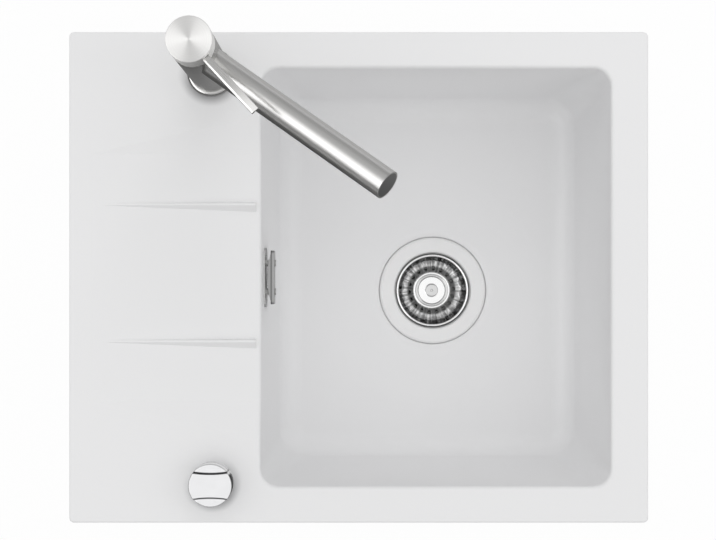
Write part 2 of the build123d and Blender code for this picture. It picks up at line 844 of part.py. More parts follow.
housing_top = neck_bottom - 2
housing_bottom = housing_top - 78
housing_radius_plain = 23.2
housing_flange_radius = 26
outlet_thread_length = 24
rocker_x = drain_x - lift_arm_length
rocker_z = housing_top - 34
rocker_shaft_radius = 3
rocker_drum_y = drain_y - 50
rocker_drum_width = 12
rocker_case_radius = 17
rocker_sleeve_radius = 7
rocker_groove_radius = 11
rocker_rope_radius = 10
guide_z = housing_top - 8
guide_height = 6
lift_pin_radius = 3.5
cable_bore_radius = 3.2
cable_bore_depth = 12
cable_socket_radius = 6
cable_wire_radius = 1.5
cable_socket_reach = 34
branch_z = housing_top - 21
pipe_angle = degrees(atan2(-drain_y, overflow_pipe_x - drain_x))
pipe_run = ((drain_x - overflow_pipe_x) ** 2 + drain_y**2) ** 0.5
branch_end = 46
pipe_plane = Plane(
    origin=(drain_x, drain_y, 0),
    x_dir=(cos(radians(pipe_angle)), sin(radians(pipe_angle)), 0),
    z_dir=(sin(radians(pipe_angle)), -cos(radians(pipe_angle)), 0),
)


def across_pipe(distance):
    """The plane square to the horizontal part of the overflow pipe, this far from the waste's axis."""
    centre = pipe_plane.from_local_coords((distance, branch_z, 0))
    return Plane(origin=centre, x_dir=pipe_plane.z_dir, z_dir=pipe_plane.x_dir)


with BuildPart() as housing_washer:
    with Locations((drain_x, drain_y, neck_bottom)):
        Cylinder(outlet_thread_radius, 2, align=(Align.CENTER, Align.CENTER, Align.MAX))
        Cylinder(outlet_bore_radius, 20, mode=Mode.SUBTRACT)
save(housing_washer, "housing_washer")

with BuildPart() as popup_housing:
    # Tube with a top flange for the union nut and the trap's thread at the bottom
    with Locations((drain_x, drain_y, housing_top)):
        Cylinder(
            housing_radius_plain,
            housing_top - housing_bottom,
            align=(Align.CENTER, Align.CENTER, Align.MAX),
        )
        Cylinder(housing_flange_radius, 3, align=(Align.CENTER, Align.CENTER, Align.MAX))
    with Locations((drain_x, drain_y, housing_bottom)):
        Cylinder(
            outlet_thread_radius,
            outlet_thread_length,
            align=(Align.CENTER, Align.CENTER, Align.MIN),
        )
    # The overflow branch
    with BuildSketch(across_pipe(0)):
        Circle(overflow_pipe_outer + 2)
    extrude(amount=branch_end)
    # The sleeve of the rocker's shaft and the case of its drum
    with BuildSketch(Plane.XZ.offset(-drain_y)):
        with Locations((rocker_x, rocker_z)):
            Circle(rocker_sleeve_radius)
    extrude(amount=drain_y - rocker_drum_y - rocker_drum_width / 2)
    with BuildSketch(Plane.XZ.offset(-rocker_drum_y)):
        with Locations((rocker_x, rocker_z)):
            Circle(rocker_case_radius)
    extrude(amount=rocker_drum_width / 2 + 2, both=True)
    # The socket of the cable, level with the bottom of the drum's groove
    with BuildSketch(Plane.YZ.offset(rocker_x)):
        with Locations((rocker_drum_y, rocker_z - rocker_rope_radius)):
            Circle(cable_socket_radius)
    extrude(amount=-cable_socket_reach)
    with Locations((drain_x, drain_y, housing_top)):
        Cylinder(outlet_bore_radius, 200, mode=Mode.SUBTRACT)
    with BuildSketch(across_pipe(10)):
        Circle(overflow_pipe_inner)
    extrude(amount=branch_end, mode=Mode.SUBTRACT)
    with BuildSketch(across_pipe(branch_end)):
        Circle(overflow_pipe_outer)
    extrude(amount=-16, mode=Mode.SUBTRACT)
    with BuildSketch(Plane.XZ.offset(-rocker_drum_y)):
        with Locations((rocker_x, rocker_z)):
            Circle(rocker_case_radius - 2)
    extrude(amount=rocker_drum_width / 2, both=True, mode=Mode.SUBTRACT)
    with BuildSketch(Plane.XZ.offset(-rocker_drum_y + rocker_drum_width / 2)):
        with Locations((rocker_x, rocker_z)):
            Circle(rocker_case_radius - 1)
    extrude(amount=3, mode=Mode.SUBTRACT)
    with BuildSketch(Plane.XZ.offset(-drain_y)):
        with Locations((rocker_x, rocker_z)):
            Circle(rocker_shaft_radius + hair)
    extrude(amount=drain_y - rocker_drum_y, mode=Mode.SUBTRACT)
    with BuildSketch(Plane.YZ.offset(rocker_x - cable_socket_reach)):
        with Locations((rocker_drum_y, rocker_z - rocker_rope_radius)):
            Circle(cable_bore_radius)
    extrude(amount=cable_bore_depth, mode=Mode.SUBTRACT)
    with BuildSketch(Plane.YZ.offset(rocker_x)):
        with Locations((rocker_drum_y, rocker_z - rocker_rope_radius)):
            Circle(cable_wire_radius)
    extrude(amount=-cable_socket_reach, mode=Mode.SUBTRACT)
    # The spider that guides the lift pin
    with BuildSketch(Plane.XY.offset(guide_z)):
        with Locations((drain_x, drain_y)):
            Circle(lift_pin_radius + 3)
            with PolarLocations(outlet_bore_radius / 2 + 1, 3):
                Rectangle(outlet_bore_radius, 2.4)
            Circle(lift_pin_radius + hair, mode=Mode.SUBTRACT)
    extrude(amount=-guide_height)
save(popup_housing, "popup_housing")

with BuildPart() as rocker_case_cover:
    with BuildSketch(Plane.XZ.offset(-rocker_drum_y + rocker_drum_width / 2)):
        with Locations((rocker_x, rocker_z)):
            Circle(rocker_case_radius - 1 - hair)
    extrude(amount=2)
save(rocker_case_cover, "rocker_case_cover")

union_nut_radius = 30.5
with BuildPart() as housing_union_nut:
    revolve(
        half_section(
            drain_plane,
            (outlet_thread_radius + hair, neck_bottom + 9),
            (union_nut_radius - 1.5, neck_bottom + 9),
            (union_nut_radius, neck_bottom + 7),
            (union_nut_radius, housing_top - 6),
            (outlet_thread_radius + 0.3, housing_top - 6),
            (outlet_thread_radius + 0.3, housing_top - 3.1),
            (housing_flange_radius + 0.3, housing_top - 3.1),
            (housing_flange_radius + 0.3, neck_bottom + 0.2),
            (outlet_thread_radius + hair, neck_bottom + 0.2),
        ),
        axis=drain_axis,
    )
    with Locations((drain_x, drain_y, housing_top - 6)):
        with PolarLocations(union_nut_radius + 1, 6):
            Box(4, 8, 16, align=(Align.CENTER, Align.CENTER, Align.MIN))
save(housing_union_nut, "housing_union_nut")

# The rocker: shaft, inner arm under the pin, outer drum pulled by the cable. At rest the
# arm hangs half of its swing below the level.
rocker_plane = Plane(origin=(rocker_x, drain_y, rocker_z), x_dir=(1, 0, 0), z_dir=(0, -1, 0))
arm_rest = -lift_arm_swing / 2
arm_tip_x = lift_arm_length * cos(radians(arm_rest))
arm_tip_z = lift_arm_length * sin(radians(arm_rest))
arm_tip_radius = 3
arm_width = 10
rocker_drum_radius = 14

with BuildPart() as rocker_arm:
    with BuildSketch(rocker_plane.offset(-arm_width / 2)):
        Circle(rocker_shaft_radius + 2)
        with Locations((arm_tip_x, arm_tip_z)):
            Circle(arm_tip_radius)
        with Locations((arm_tip_x / 2, arm_tip_z / 2)):
            Rectangle(lift_arm_length, 3, rotation=arm_rest)
        Circle(rocker_shaft_radius, mode=Mode.SUBTRACT)
    extrude(amount=arm_width)
save(rocker_arm, "rocker_arm")

rocker_shaft_length = drain_y - rocker_drum_y + rocker_drum_width / 2 - 0.5
with BuildPart() as rocker_shaft:
    with BuildSketch(rocker_plane.offset(-arm_width / 2)):
        Circle(rocker_shaft_radius)
    extrude(amount=rocker_shaft_length + arm_width / 2)
save(rocker_shaft, "rocker_shaft")

with BuildPart() as rocker_drum:
    with BuildSketch(rocker_plane.offset(drain_y - rocker_drum_y - rocker_drum_width / 2 + 0.5)):
        Circle(rocker_drum_radius - 1)
        Circle(rocker_shaft_radius, mode=Mode.SUBTRACT)
    extrude(amount=rocker_drum_width - 1)
    with BuildSketch(rocker_plane.offset(drain_y - rocker_drum_y - cable_wire_radius)):
        Circle(rocker_drum_radius)
        Circle(rocker_groove_radius, mode=Mode.SUBTRACT)
    extrude(amount=2 * cable_wire_radius, mode=Mode.SUBTRACT)
save(rocker_drum, "rocker_drum")

with BuildPart() as lift_pin:
    with Locations((drain_x, drain_y, lift_pin_top)):
        Cylinder(
            lift_pin_radius,
            lift_pin_top - (rocker_z + arm_tip_z + arm_tip_radius + 0.1),
            align=(Align.CENTER, Align.CENTER, Align.MAX),
        )
save(lift_pin, "lift_pin")

# ---------------------------------------------------------------- overflow pipe

pipe_bend = 22
pipe_top = elbow_spigot_bottom + 13.5
with BuildPart() as overflow_pipe:
    with BuildLine(pipe_plane) as pipe_route:
        FilletPolyline(
            (pipe_run, pipe_top),
            (pipe_run, branch_z),
            (branch_end - 15.5, branch_z),
            radius=pipe_bend,
        )
    with BuildSketch(Plane(origin=pipe_route.line @ 0, z_dir=(0, 0, -1))):
        Circle(overflow_pipe_outer - hair)
        Circle(overflow_pipe_inner, mode=Mode.SUBTRACT)
    sweep(path=pipe_route.line)
save(overflow_pipe, "overflow_pipe")

# ---------------------------------------------------------------- pop-up knob

case_top = deck_underside - 2
case_bottom = case_top - 28
case_radius = 27
neck_radius = tap_hole_radius - 0.6
spindle_radius = 6.1
drum_radius = 20
drum_half_height = 5
drum_groove_half = 1.8
drum_z = case_top - 18
knob_socket_reach = 36
knob_nut_radius = 19.8
knob_nut_height = 4
square_drive = 8
rosette_top = rim_top + 6
knob_foot = rosette_top + 0.5
knob_top = rim_top + knob_top_height

with BuildPart() as knob_gasket:
    with Locations((knob_x, knob_y, deck_underside)):
        Cylinder(case_radius - 1, 2, align=(Align.CENTER, Align.CENTER, Align.MAX))
        Cylinder(neck_radius + hair, 20, mode=Mode.SUBTRACT)
save(knob_gasket, "knob_gasket")

with BuildPart() as knob_housing:
    revolve(
        half_section(
            knob_plane,
            (spindle_radius + hair, rim_top + knob_nut_height),
            (neck_radius, rim_top + knob_nut_height),
            (neck_radius, case_top),
            (case_radius, case_top),
            (case_radius, case_bottom),
            (case_radius - 2, case_bottom),
            (case_radius - 2, case_top - 3),
            (spindle_radius + hair, case_top - 3),
        ),
        axis=knob_axis,
    )
    # The socket of the cable, level with the drum's groove and pointing to the rear
    with BuildSketch(Plane.XZ.offset(-knob_y)):
        with Locations((knob_x - drum_radius + 2, drum_z)):
            Circle(cable_socket_radius)
    extrude(amount=-knob_socket_reach)
    with Locations((knob_x, knob_y, case_bottom)):
        Cylinder(
            case_radius - 2,
            case_top - 3 - case_bottom,
            align=(Align.CENTER, Align.CENTER, Align.MIN),
            mode=Mode.SUBTRACT,
        )
    with BuildSketch(Plane.XZ.offset(-knob_y - knob_socket_reach)):
        with Locations((knob_x - drum_radius + 2, drum_z)):
            Circle(cable_bore_radius)
    extrude(amount=cable_bore_depth, mode=Mode.SUBTRACT)
    with BuildSketch(Plane.XZ.offset(-knob_y)):
        with Locations((knob_x - drum_radius + 2, drum_z)):
            Circle(cable_wire_radius)
    extrude(amount=-knob_socket_reach, mode=Mode.SUBTRACT)
save(knob_housing, "knob_housing")

with BuildPart() as knob_case_cover:
    with Locations((knob_x, knob_y, case_bottom)):
        Cylinder(case_radius - 2 - hair, 2, align=(Align.CENTER, Align.CENTER, Align.MIN))
save(knob_case_cover, "knob_case_cover")

with BuildPart() as knob_nut:
    with BuildSketch(Plane.XY.offset(rim_top)):
        with Locations((knob_x, knob_y)):
            Circle(knob_nut_radius)
            with PolarLocations(knob_nut_radius, 6):
                Rectangle(3, 4, mode=Mode.SUBTRACT)
            Circle(neck_radius + hair, mode=Mode.SUBTRACT)
    extrude(amount=knob_nut_height)
save(knob_nut, "knob_nut")

with BuildPart() as knob_rosette:
    revolve(
        half_section(
            knob_plane,
            (knob_radius, rim_top),
            (knob_radius, rosette_top - 1),
            (knob_radius - 1, rosette_top),
            (10, rosette_top),
            (10, rosette_top - 1.5),
            (knob_radius - 1.6, rosette_top - 1.5),
            (knob_radius - 1.6, rim_top),
        ),
        axis=knob_axis,
    )
save(knob_rosette, "knob_rosette")

with BuildPart() as knob_spindle:
    with Locations((knob_x, knob_y, drum_z - drum_half_height)):
        Cylinder(
            spindle_radius,
            knob_foot + 3 - drum_z + drum_half_height,
            align=(Align.CENTER, Align.CENTER, Align.MIN),
        )
    with Locations((knob_x, knob_y, knob_foot + 3)):
        Box(square_drive, square_drive, 9, align=(Align.CENTER, Align.CENTER, Align.MIN))
save(knob_spindle, "knob_spindle")

with BuildPart() as cable_drum:
    revolve(
        half_section(
            knob_plane,
            (spindle_radius, drum_z - drum_half_height),
            (drum_radius, drum_z - drum_half_height),
            (drum_radius, drum_z - drum_groove_half),
            (drum_radius - 3, drum_z - drum_groove_half),
            (drum_radius - 3, drum_z + drum_groove_half),
            (drum_radius, drum_z + drum_groove_half),
            (drum_radius, drum_z + drum_half_height),
            (spindle_radius, drum_z + drum_half_height),
        ),
        axis=knob_axis,
    )
save(cable_drum, "cable_drum")

# The knob: a round body with a grip band left standing between two sides that are scooped out
# with a sloping wall
band_half_mid = 11.2
band_half_end = 13
scoop_depth = 3
scoop_wall_lean = 34
knob_edge_round = 1
scoop_sag = band_half_end - band_half_mid
scoop_radius = scoop_sag / 2 + knob_radius**2 / (2 * scoop_sag)
with BuildPart() as rotary_knob:
    revolve(
        half_section(
            knob_plane,
            (0, knob_foot + 3),
            (spindle_radius + 2, knob_foot + 3),
            (spindle_radius + 2, knob_foot),
            (knob_radius - 0.8, knob_foot),
            (knob_radius, knob_foot + 0.8),
            (knob_radius, knob_top - 0.4),
            (knob_radius - 0.4, knob_top),
            (0, knob_top),
        ),
        axis=knob_axis,
    )
    with BuildSketch(Plane.XY.offset(knob_top)):
        with Locations(
            (knob_x, knob_y + band_half_mid + scoop_radius),
            (knob_x, knob_y - band_half_mid - scoop_radius),
        ):
            Circle(scoop_radius)
    extrude(amount=-scoop_depth, taper=scoop_wall_lean, mode=Mode.SUBTRACT)
    # The rounded outer edge of both scooped sides
    scooped_edges = (
        rotary_knob.edges()
        .filter_by(GeomType.CIRCLE)
        .filter_by_position(Axis.Z, knob_top - scoop_depth - hair, knob_top - scoop_depth + hair)
        .filter_by(lambda edge: abs(edge.radius - knob_radius) < hair)
    )
    fillet(scooped_edges, radius=knob_edge_round)
    with Locations((knob_x, knob_y, knob_foot + 3)):
        Box(
            square_drive,
            square_drive,
            9,
            align=(Align.CENTER, Align.CENTER, Align.MIN),
            mode=Mode.SUBTRACT,
        )
save(rotary_knob, "rotary_knob")

# ---------------------------------------------------------------- tap

ring_radius = 24.5
ring_top = rim_top + 5.4
riser_radius = 16.9
sleeve_inner_radius = 17.6
sleeve_foot = ring_top + clearance
tap_top = rim_top + tap_top_height
cap_height = 28.5
cap_foot = tap_top - cap_height
sleeve_top = cap_foot - 0.6
lift_pivot_z = cap_foot - 1.5
riser_top = lift_pivot_z - 4
pocket_floor = riser_top - 19
pocket_radius = 14.3
spout_axis_z = rim_top + spout_axis_height
inlet_radius = 4.6
inlet_depth = 12
inlet_spacing = 15
stud_radius = 3
stud_offset = 10.5
stud_grip = 14
stud_length = 76
shank_foot = -3
chamber_half = 8

with BuildPart() as tap_base_seal:
    with Locations((tap_x, tap_y, rim_top)):
        Cylinder(ring_radius - 1, 0.6, align=(Align.CENTER, Align.CENTER, Align.MIN))
        Cylinder(neck_radius + 0.8, 10, mode=Mode.SUBTRACT)
save(tap_base_seal, "tap_base_seal")

with BuildPart() as tap_base_ring:
    with BuildSketch(tap_plane):
        with BuildLine():
            Polyline(
                (riser_radius + hair, ring_top),
                (riser_radius + hair, ring_top - 2.4),
                (ring_radius - 3.4, ring_top - 2.4),
                (ring_radius - 3.4, rim_top + 0.6),
                (ring_radius, rim_top + 0.6),
                (ring_radius, rim_top + 1.6),
            )
            TangentArc((ring_radius, rim_top + 1.6), (ring_radius - 3.4, ring_top), tangent=(0, 1))
            Line((ring_radius - 3.4, ring_top), (riser_radius + hair, ring_top))
        make_face()
    revolve(axis=tap_axis)
save(tap_base_ring, "tap_base_ring")

# The fixed inner body: flange, shank with two inlets and the stud's thread, O-ring grooves,
# the chamber that feeds the spout and the cartridge's pocket on top.
with BuildPart() as tap_inner_body:
    revolve(
        half_section(
            tap_plane,
            (0, shank_foot),
            (neck_radius, shank_foot),
            (neck_radius, rim_top + 0.6),
            (ring_radius - 3.7, rim_top + 0.6),
            (ring_radius - 3.7, ring_top - 2.4),
            (riser_radius, ring_top - 2.4),
            (riser_radius, sleeve_foot + 3),
            (riser_radius - 0.8, sleeve_foot + 3),
            (riser_radius - 0.8, sleeve_foot + 9),
            (riser_radius, sleeve_foot + 9),
            (riser_radius, spout_axis_z - 18),
            (riser_radius - 1.4, spout_axis_z - 18),
            (riser_radius - 1.4, spout_axis_z - 15.6),
            (riser_radius, spout_axis_z - 15.6),
            (riser_radius, spout_axis_z - chamber_half),
            (riser_radius - 3, spout_axis_z - chamber_half),
            (riser_radius - 3, spout_axis_z + chamber_half),
            (riser_radius, spout_axis_z + chamber_half),
            (riser_radius, spout_axis_z + 12),
            (riser_radius - 1.4, spout_axis_z + 12),
            (riser_radius - 1.4, spout_axis_z + 14.4),
            (riser_radius, spout_axis_z + 14.4),
            (riser_radius, riser_top - 10),
            (riser_radius - 0.8, riser_top - 10),
            (riser_radius - 0.8, riser_top - 4),
            (riser_radius, riser_top - 4),
            (riser_radius, riser_top),
            (pocket_radius, riser_top),
            (pocket_radius, pocket_floor),
            (0, pocket_floor),
        ),
        axis=tap_axis,
    )
    with Locations((tap_x, tap_y, shank_foot)):
        with Locations((-inlet_spacing / 2, 4, 0), (inlet_spacing / 2, 4, 0)):
            Cylinder(
                inlet_radius,
                inlet_depth,
                align=(Align.CENTER, Align.CENTER, Align.MIN),
                mode=Mode.SUBTRACT,
            )
            Cylinder(
                3,
                pocket_floor - shank_foot + 1,
                align=(Align.CENTER, Align.CENTER, Align.MIN),
                mode=Mode.SUBTRACT,
            )
        with Locations((0, -stud_offset, 0)):
            Cylinder(
                stud_radius,
                stud_grip,
                align=(Align.CENTER, Align.CENTER, Align.MIN),
                mode=Mode.SUBTRACT,
            )
    # The way from the cartridge down to the spout's chamber
    with Locations((tap_x, tap_y - 7, pocket_floor + 1)):
        Cylinder(
            3.5,
            pocket_floor + 1 - spout_axis_z,
            align=(Align.CENTER, Align.CENTER, Align.MAX),
            mode=Mode.SUBTRACT,
        )
    with Locations((tap_x, tap_y - 10, spout_axis_z)):
        Box(7, 12, 7, mode=Mode.SUBTRACT)
save(tap_inner_body, "tap_inner_body")

with BuildPart() as swivel_o_rings:
    for groove_z in (spout_axis_z - 18, spout_axis_z + 12):
        revolve(
            half_section(
                tap_plane,
                (riser_radius - 1.4, groove_z + 0.1),
                (sleeve_inner_radius - hair - 0.8, groove_z + 0.1),
                (sleeve_inner_radius - hair, groove_z + 0.8),
                (sleeve_inner_radius - hair, groove_z + 1.6),
                (sleeve_inner_radius - hair - 0.8, groove_z + 2.3),
                (riser_radius - 1.4, groove_z + 2.3),
            ),
            axis=tap_axis,
        )
save(swivel_o_rings, "swivel_o_rings")

with BuildPart() as glide_rings:
    for groove_z in (sleeve_foot + 3, riser_top - 10):
        revolve(
            half_section(
                tap_plane,
                (riser_radius - 0.8, groove_z + 0.1),
                (sleeve_inner_radius - hair, groove_z + 0.1),
                (sleeve_inner_radius - hair, groove_z + 5.9),
                (riser_radius - 0.8, groove_z + 5.9),
            ),
            axis=tap_axis,
        )
save(glide_rings, "glide_rings")

# The fixing under the deck: stud, two horseshoe washers and a nut
with BuildPart() as tap_stud:
    with Locations((tap_x, tap_y - stud_offset, shank_foot + stud_grip)):
        Cylinder(stud_radius, stud_length, align=(Align.CENTER, Align.CENTER, Align.MAX))
save(tap_stud, "tap_stud")

washer_thickness = 3
clamp_thickness = 2.5


def horseshoe(height):
    """A washer with an open slot for the supply pipes and a hole for the stud."""
    with BuildSketch(Plane.XY.offset(height)) as outline:
        with Locations((tap_x, tap_y - 1)):
            Circle(21)
        with Locations((tap_x, tap_y + 5)):
            SlotOverall(30, 13, mode=Mode.SUBTRACT)
        with Locations((tap_x, tap_y + 16)):
            Rectangle(13, 22, mode=Mode.SUBTRACT)
        with Locations((tap_x, tap_y - stud_offset)):
            Circle(stud_radius + 0.2, mode=Mode.SUBTRACT)
    return outline.sketch


with BuildPart() as tap_rubber_washer:
    extrude(horseshoe(deck_underside), amount=-washer_thickness)
save(tap_rubber_washer, "tap_rubber_washer")

with BuildPart() as tap_clamp_plate:
    extrude(horseshoe(deck_underside - washer_thickness), amount=-clamp_thickness)
save(tap_clamp_plate, "tap_clamp_plate")

with BuildPart() as tap_stud_nut:
    with BuildSketch(Plane.XY.offset(deck_underside - washer_thickness - clamp_thickness)):
        with Locations((tap_x, tap_y - stud_offset)):
            RegularPolygon(5.8, 6)
            Circle(stud_radius + 0.01, mode=Mode.SUBTRACT)
    extrude(amount=-9)
save(tap_stud_nut, "tap_stud_nut")

# The swivelling sleeve and the spout
spout_direction = Vector(
    cos(radians(spout_azimuth)) * cos(radians(spout_rise)),
    sin(radians(spout_azimuth)) * cos(radians(spout_rise)),
    sin(radians(spout_rise)),
)
spout_length = spout_reach / cos(radians(spout_rise))
spout_root = Vector(tap_x, tap_y, spout_axis_z)
spout_end = spout_root + spout_direction * spout_length
spout_side = Vector(-sin(radians(spout_azimuth)), cos(radians(spout_azimuth)), 0)
spout_start_plane = Plane(origin=spout_root, x_dir=spout_side, z_dir=spout_direction)
spout_end_plane = Plane(origin=spout_end, x_dir=spout_side, z_dir=spout_direction)

spout_port_radius = 8
with BuildPart() as swivel_sleeve:
    with Locations((tap_x, tap_y, sleeve_foot)):
        Cylinder(tap_radius, sleeve_top - sleeve_foot, align=(Align.CENTER, Align.CENTER, Align.MIN))
        Cylinder(sleeve_inner_radius, 600, mode=Mode.SUBTRACT)
    with BuildSketch(spout_start_plane):
        Circle(spout_port_radius)
    extrude(amount=40, mode=Mode.SUBTRACT)
save(swivel_sleeve, "swivel_sleeve")

aerator_back = 17
aerator_radius = 9.5
aerator_wall = 1.2
aerator_depth = 7
aerator_centre = spout_end - spout_direction * aerator_back
aerator_down = spout_side.cross(spout_direction)
aerator_plane = Plane(origin=aerator_centre, x_dir=spout_side, z_dir=aerator_down)
plug_thickness = 3

with BuildPart() as spout_tube:
    with BuildSketch(spout_start_plane):
        Circle(spout_radius)
    extrude(amount=spout_length)
    with Locations((tap_x, tap_y, spout_axis_z)):
        Cylinder(tap_radius, 200, mode=Mode.SUBTRACT)
    with BuildSketch(spout_start_plane):
        Circle(spout_radius - spout_wall)
    extrude(amount=spout_length, mode=Mode.SUBTRACT)
    with BuildSketch(aerator_plane):
        Circle(aerator_radius)
    extrude(amount=30, mode=Mode.SUBTRACT)
save(spout_tube, "spout_tube")

with BuildPart() as spout_end_plug:
    with BuildSketch(spout_end_plane):
        Circle(spout_radius - spout_wall)
    extrude(amount=-plug_thickness)
save(spout_end_plug, "spout_end_plug")

with BuildPart() as aerator_housing:
    with BuildSketch(aerator_plane.offset(aerator_depth)):
        Circle(aerator_radius - hair)
        Circle(aerator_radius - aerator_wall, mode=Mode.SUBTRACT)
    extrude(amount=spout_radius - aerator_depth + 0.6)
    with BuildSketch(aerator_plane.offset(aerator_depth - 1.5)):
        Circle(aerator_radius - hair)
        Circle(aerator_radius - 3, mode=Mode.SUBTRACT)
    extrude(amount=1.5)
save(aerator_housing, "aerator_housing")

with BuildPart() as aerator_insert:
    with BuildSketch(aerator_plane.offset(aerator_depth)):
        Circle(aerator_radius - aerator_wall)
        with GridLocations(3.4, 3.4, 4, 4):
            Rectangle(2.2, 2.2, mode=Mode.SUBTRACT)
    extrude(amount=spout_radius - aerator_depth)
save(aerator_insert, "aerator_insert")

# ---------------------------------------------------------------- cartridge

housing_radius = pocket_radius - 0.1
cavity_radius = 10.8
seal_thickness = 1.4
cartridge_foot = pocket_floor + seal_thickness
cavity_floor = cartridge_foot + 3.6
fixed_disc_top = cavity_floor + 3
stem_ball_radius = 3
stem_ball_drop = 8
ball_z = lift_pivot_z - stem_ball_drop
moving_disc_top = ball_z + 1.5
moving_disc_radius = 7.6
carrier_foot = moving_disc_top + 0.3
neck_top = lift_pivot_z + 7
stem_width = 7
stem_pin_radius = 1.5
stem_pin_half = 9
stem_top = tap_top - 3
port_circle = 6
port_radius = 2.4
lever_plane = Plane(
    origin=(tap_x, tap_y, lift_pivot_z),
    x_dir=(cos(radians(lever_azimuth)), sin(radians(lever_azimuth)), 0),
    z_dir=(sin(radians(lever_azimuth)), -cos(radians(lever_azimuth)), 0),
)
lever_flat = Plane(origin=(tap_x, tap_y, 0), x_dir=lever_plane.x_dir, z_dir=(0, 0, 1))


def ported_disc(height, radius):
    """A disc with three water ports, drawn at this height."""
    with BuildSketch(Plane.XY.offset(height)) as outline:
        with Locations((tap_x, tap_y)):
            Circle(radius)
            with PolarLocations(port_circle, 3, start_angle=-90):
                Circle(port_radius, mode=Mode.SUBTRACT)
    return outline.sketch


with BuildPart() as cartridge_seal:
    extrude(ported_disc(pocket_floor, housing_radius), amount=seal_thickness)
save(cartridge_seal, "cartridge_seal")

with BuildPart() as cartridge_housing:
    extrude(ported_disc(cartridge_foot, housing_radius), amount=cavity_floor - cartridge_foot)
    revolve(
        half_section(
            tap_plane,
            (cavity_radius, cavity_floor),
            (housing_radius, cavity_floor),
            (housing_radius, riser_top - 8),
            (cavity_radius + 1.5, riser_top - 8),
            (cavity_radius + 1.5, neck_top),
            (cavity_radius, neck_top),
        ),
        axis=tap_axis,
    )
save(cartridge_housing, "cartridge_housing")

with BuildPart() as fixed_disc:
    extrude(ported_disc(cavity_floor, cavity_radius - 0.1), amount=fixed_disc_top - cavity_floor)
save(fixed_disc, "fixed_disc")

with BuildPart() as moving_disc:
    with Locations((tap_x, tap_y, fixed_disc_top + hair)):
        Cylinder(
            moving_disc_radius,
            moving_disc_top - fixed_disc_top - hair,
            align=(Align.CENTER, Align.CENTER, Align.MIN),
        )
    with Locations((tap_x, tap_y, ball_z - stem_ball_radius - 0.4)):
        Cylinder(
            stem_ball_radius + 0.3,
            20,
            align=(Align.CENTER, Align.CENTER, Align.MIN),
            mode=Mode.SUBTRACT,
        )
save(moving_disc, "moving_disc")

# The carrier turns with the lever; the stem rocks on a pin across it.
with BuildPart() as cartridge_carrier:
    with Locations((tap_x, tap_y, carrier_foot)):
        Cylinder(
            cavity_radius - 0.3,
            neck_top - 0.5 - carrier_foot,
            align=(Align.CENTER, Align.CENTER, Align.MIN),
        )
    with BuildSketch(lever_flat.offset(carrier_foot)):
        Rectangle(16, stem_width + 0.6)
    extrude(amount=40, mode=Mode.SUBTRACT)
    with BuildSketch(lever_plane):
        Circle(stem_pin_radius)
    extrude(amount=stem_pin_half, both=True, mode=Mode.SUBTRACT)
save(cartridge_carrier, "cartridge_carrier")

with BuildPart() as stem_pin:
    with BuildSketch(lever_plane):
        Circle(stem_pin_radius)
    extrude(amount=stem_pin_half, both=True)
save(stem_pin, "stem_pin")

with BuildPart() as lever_stem:
    with BuildSketch(lever_flat.offset(lift_pivot_z - 3.5)):
        Rectangle(stem_width, stem_width)
    extrude(amount=stem_top - lift_pivot_z + 3.5)
    with Locations((tap_x, tap_y, ball_z)):
        Sphere(stem_ball_radius)
        Cylinder(2.2, stem_ball_drop - 3, align=(Align.CENTER, Align.CENTER, Align.MIN))
    with BuildSketch(lever_plane):
        Circle(stem_pin_radius + hair)
    extrude(amount=stem_pin_half, both=True, mode=Mode.SUBTRACT)
save(lever_stem, "lever_stem")

# The nut that holds the cartridge; its domed top follows the tilting cap.
dome_radius = 16.9
dome_mouth = 10.5
with BuildPart() as cartridge_nut:
    with BuildSketch(tap_plane):
        with BuildLine():
            dome_start = (dome_radius, lift_pivot_z)
            dome_end = (dome_mouth, lift_pivot_z + (dome_radius**2 - dome_mouth**2) ** 0.5)
            Polyline(
                dome_end,
                (dome_mouth, neck_top + 0.4),
                (cavity_radius + 1.6, neck_top + 0.4),
                (cavity_radius + 1.6, riser_top - 8),
                (pocket_radius, riser_top - 8),
                (pocket_radius, riser_top),
                (dome_radius, riser_top),
                dome_start,
            )
            CenterArc(
                (0, lift_pivot_z),
                dome_radius,
                0,
                degrees(atan2(dome_end[1] - lift_pivot_z, dome_mouth)),
            )
        make_face()
    revolve(axis=tap_axis)
save(cartridge_nut, "cartridge_nut")

# ---------------------------------------------------------------- lever

cap_inner_radius = 18.2
cap_ceiling = lift_pivot_z + 18
lever_top = tap_top - 5.5
lever_root = 15
set_screw_z = tap_top - 7
set_screw_radius = 2.5

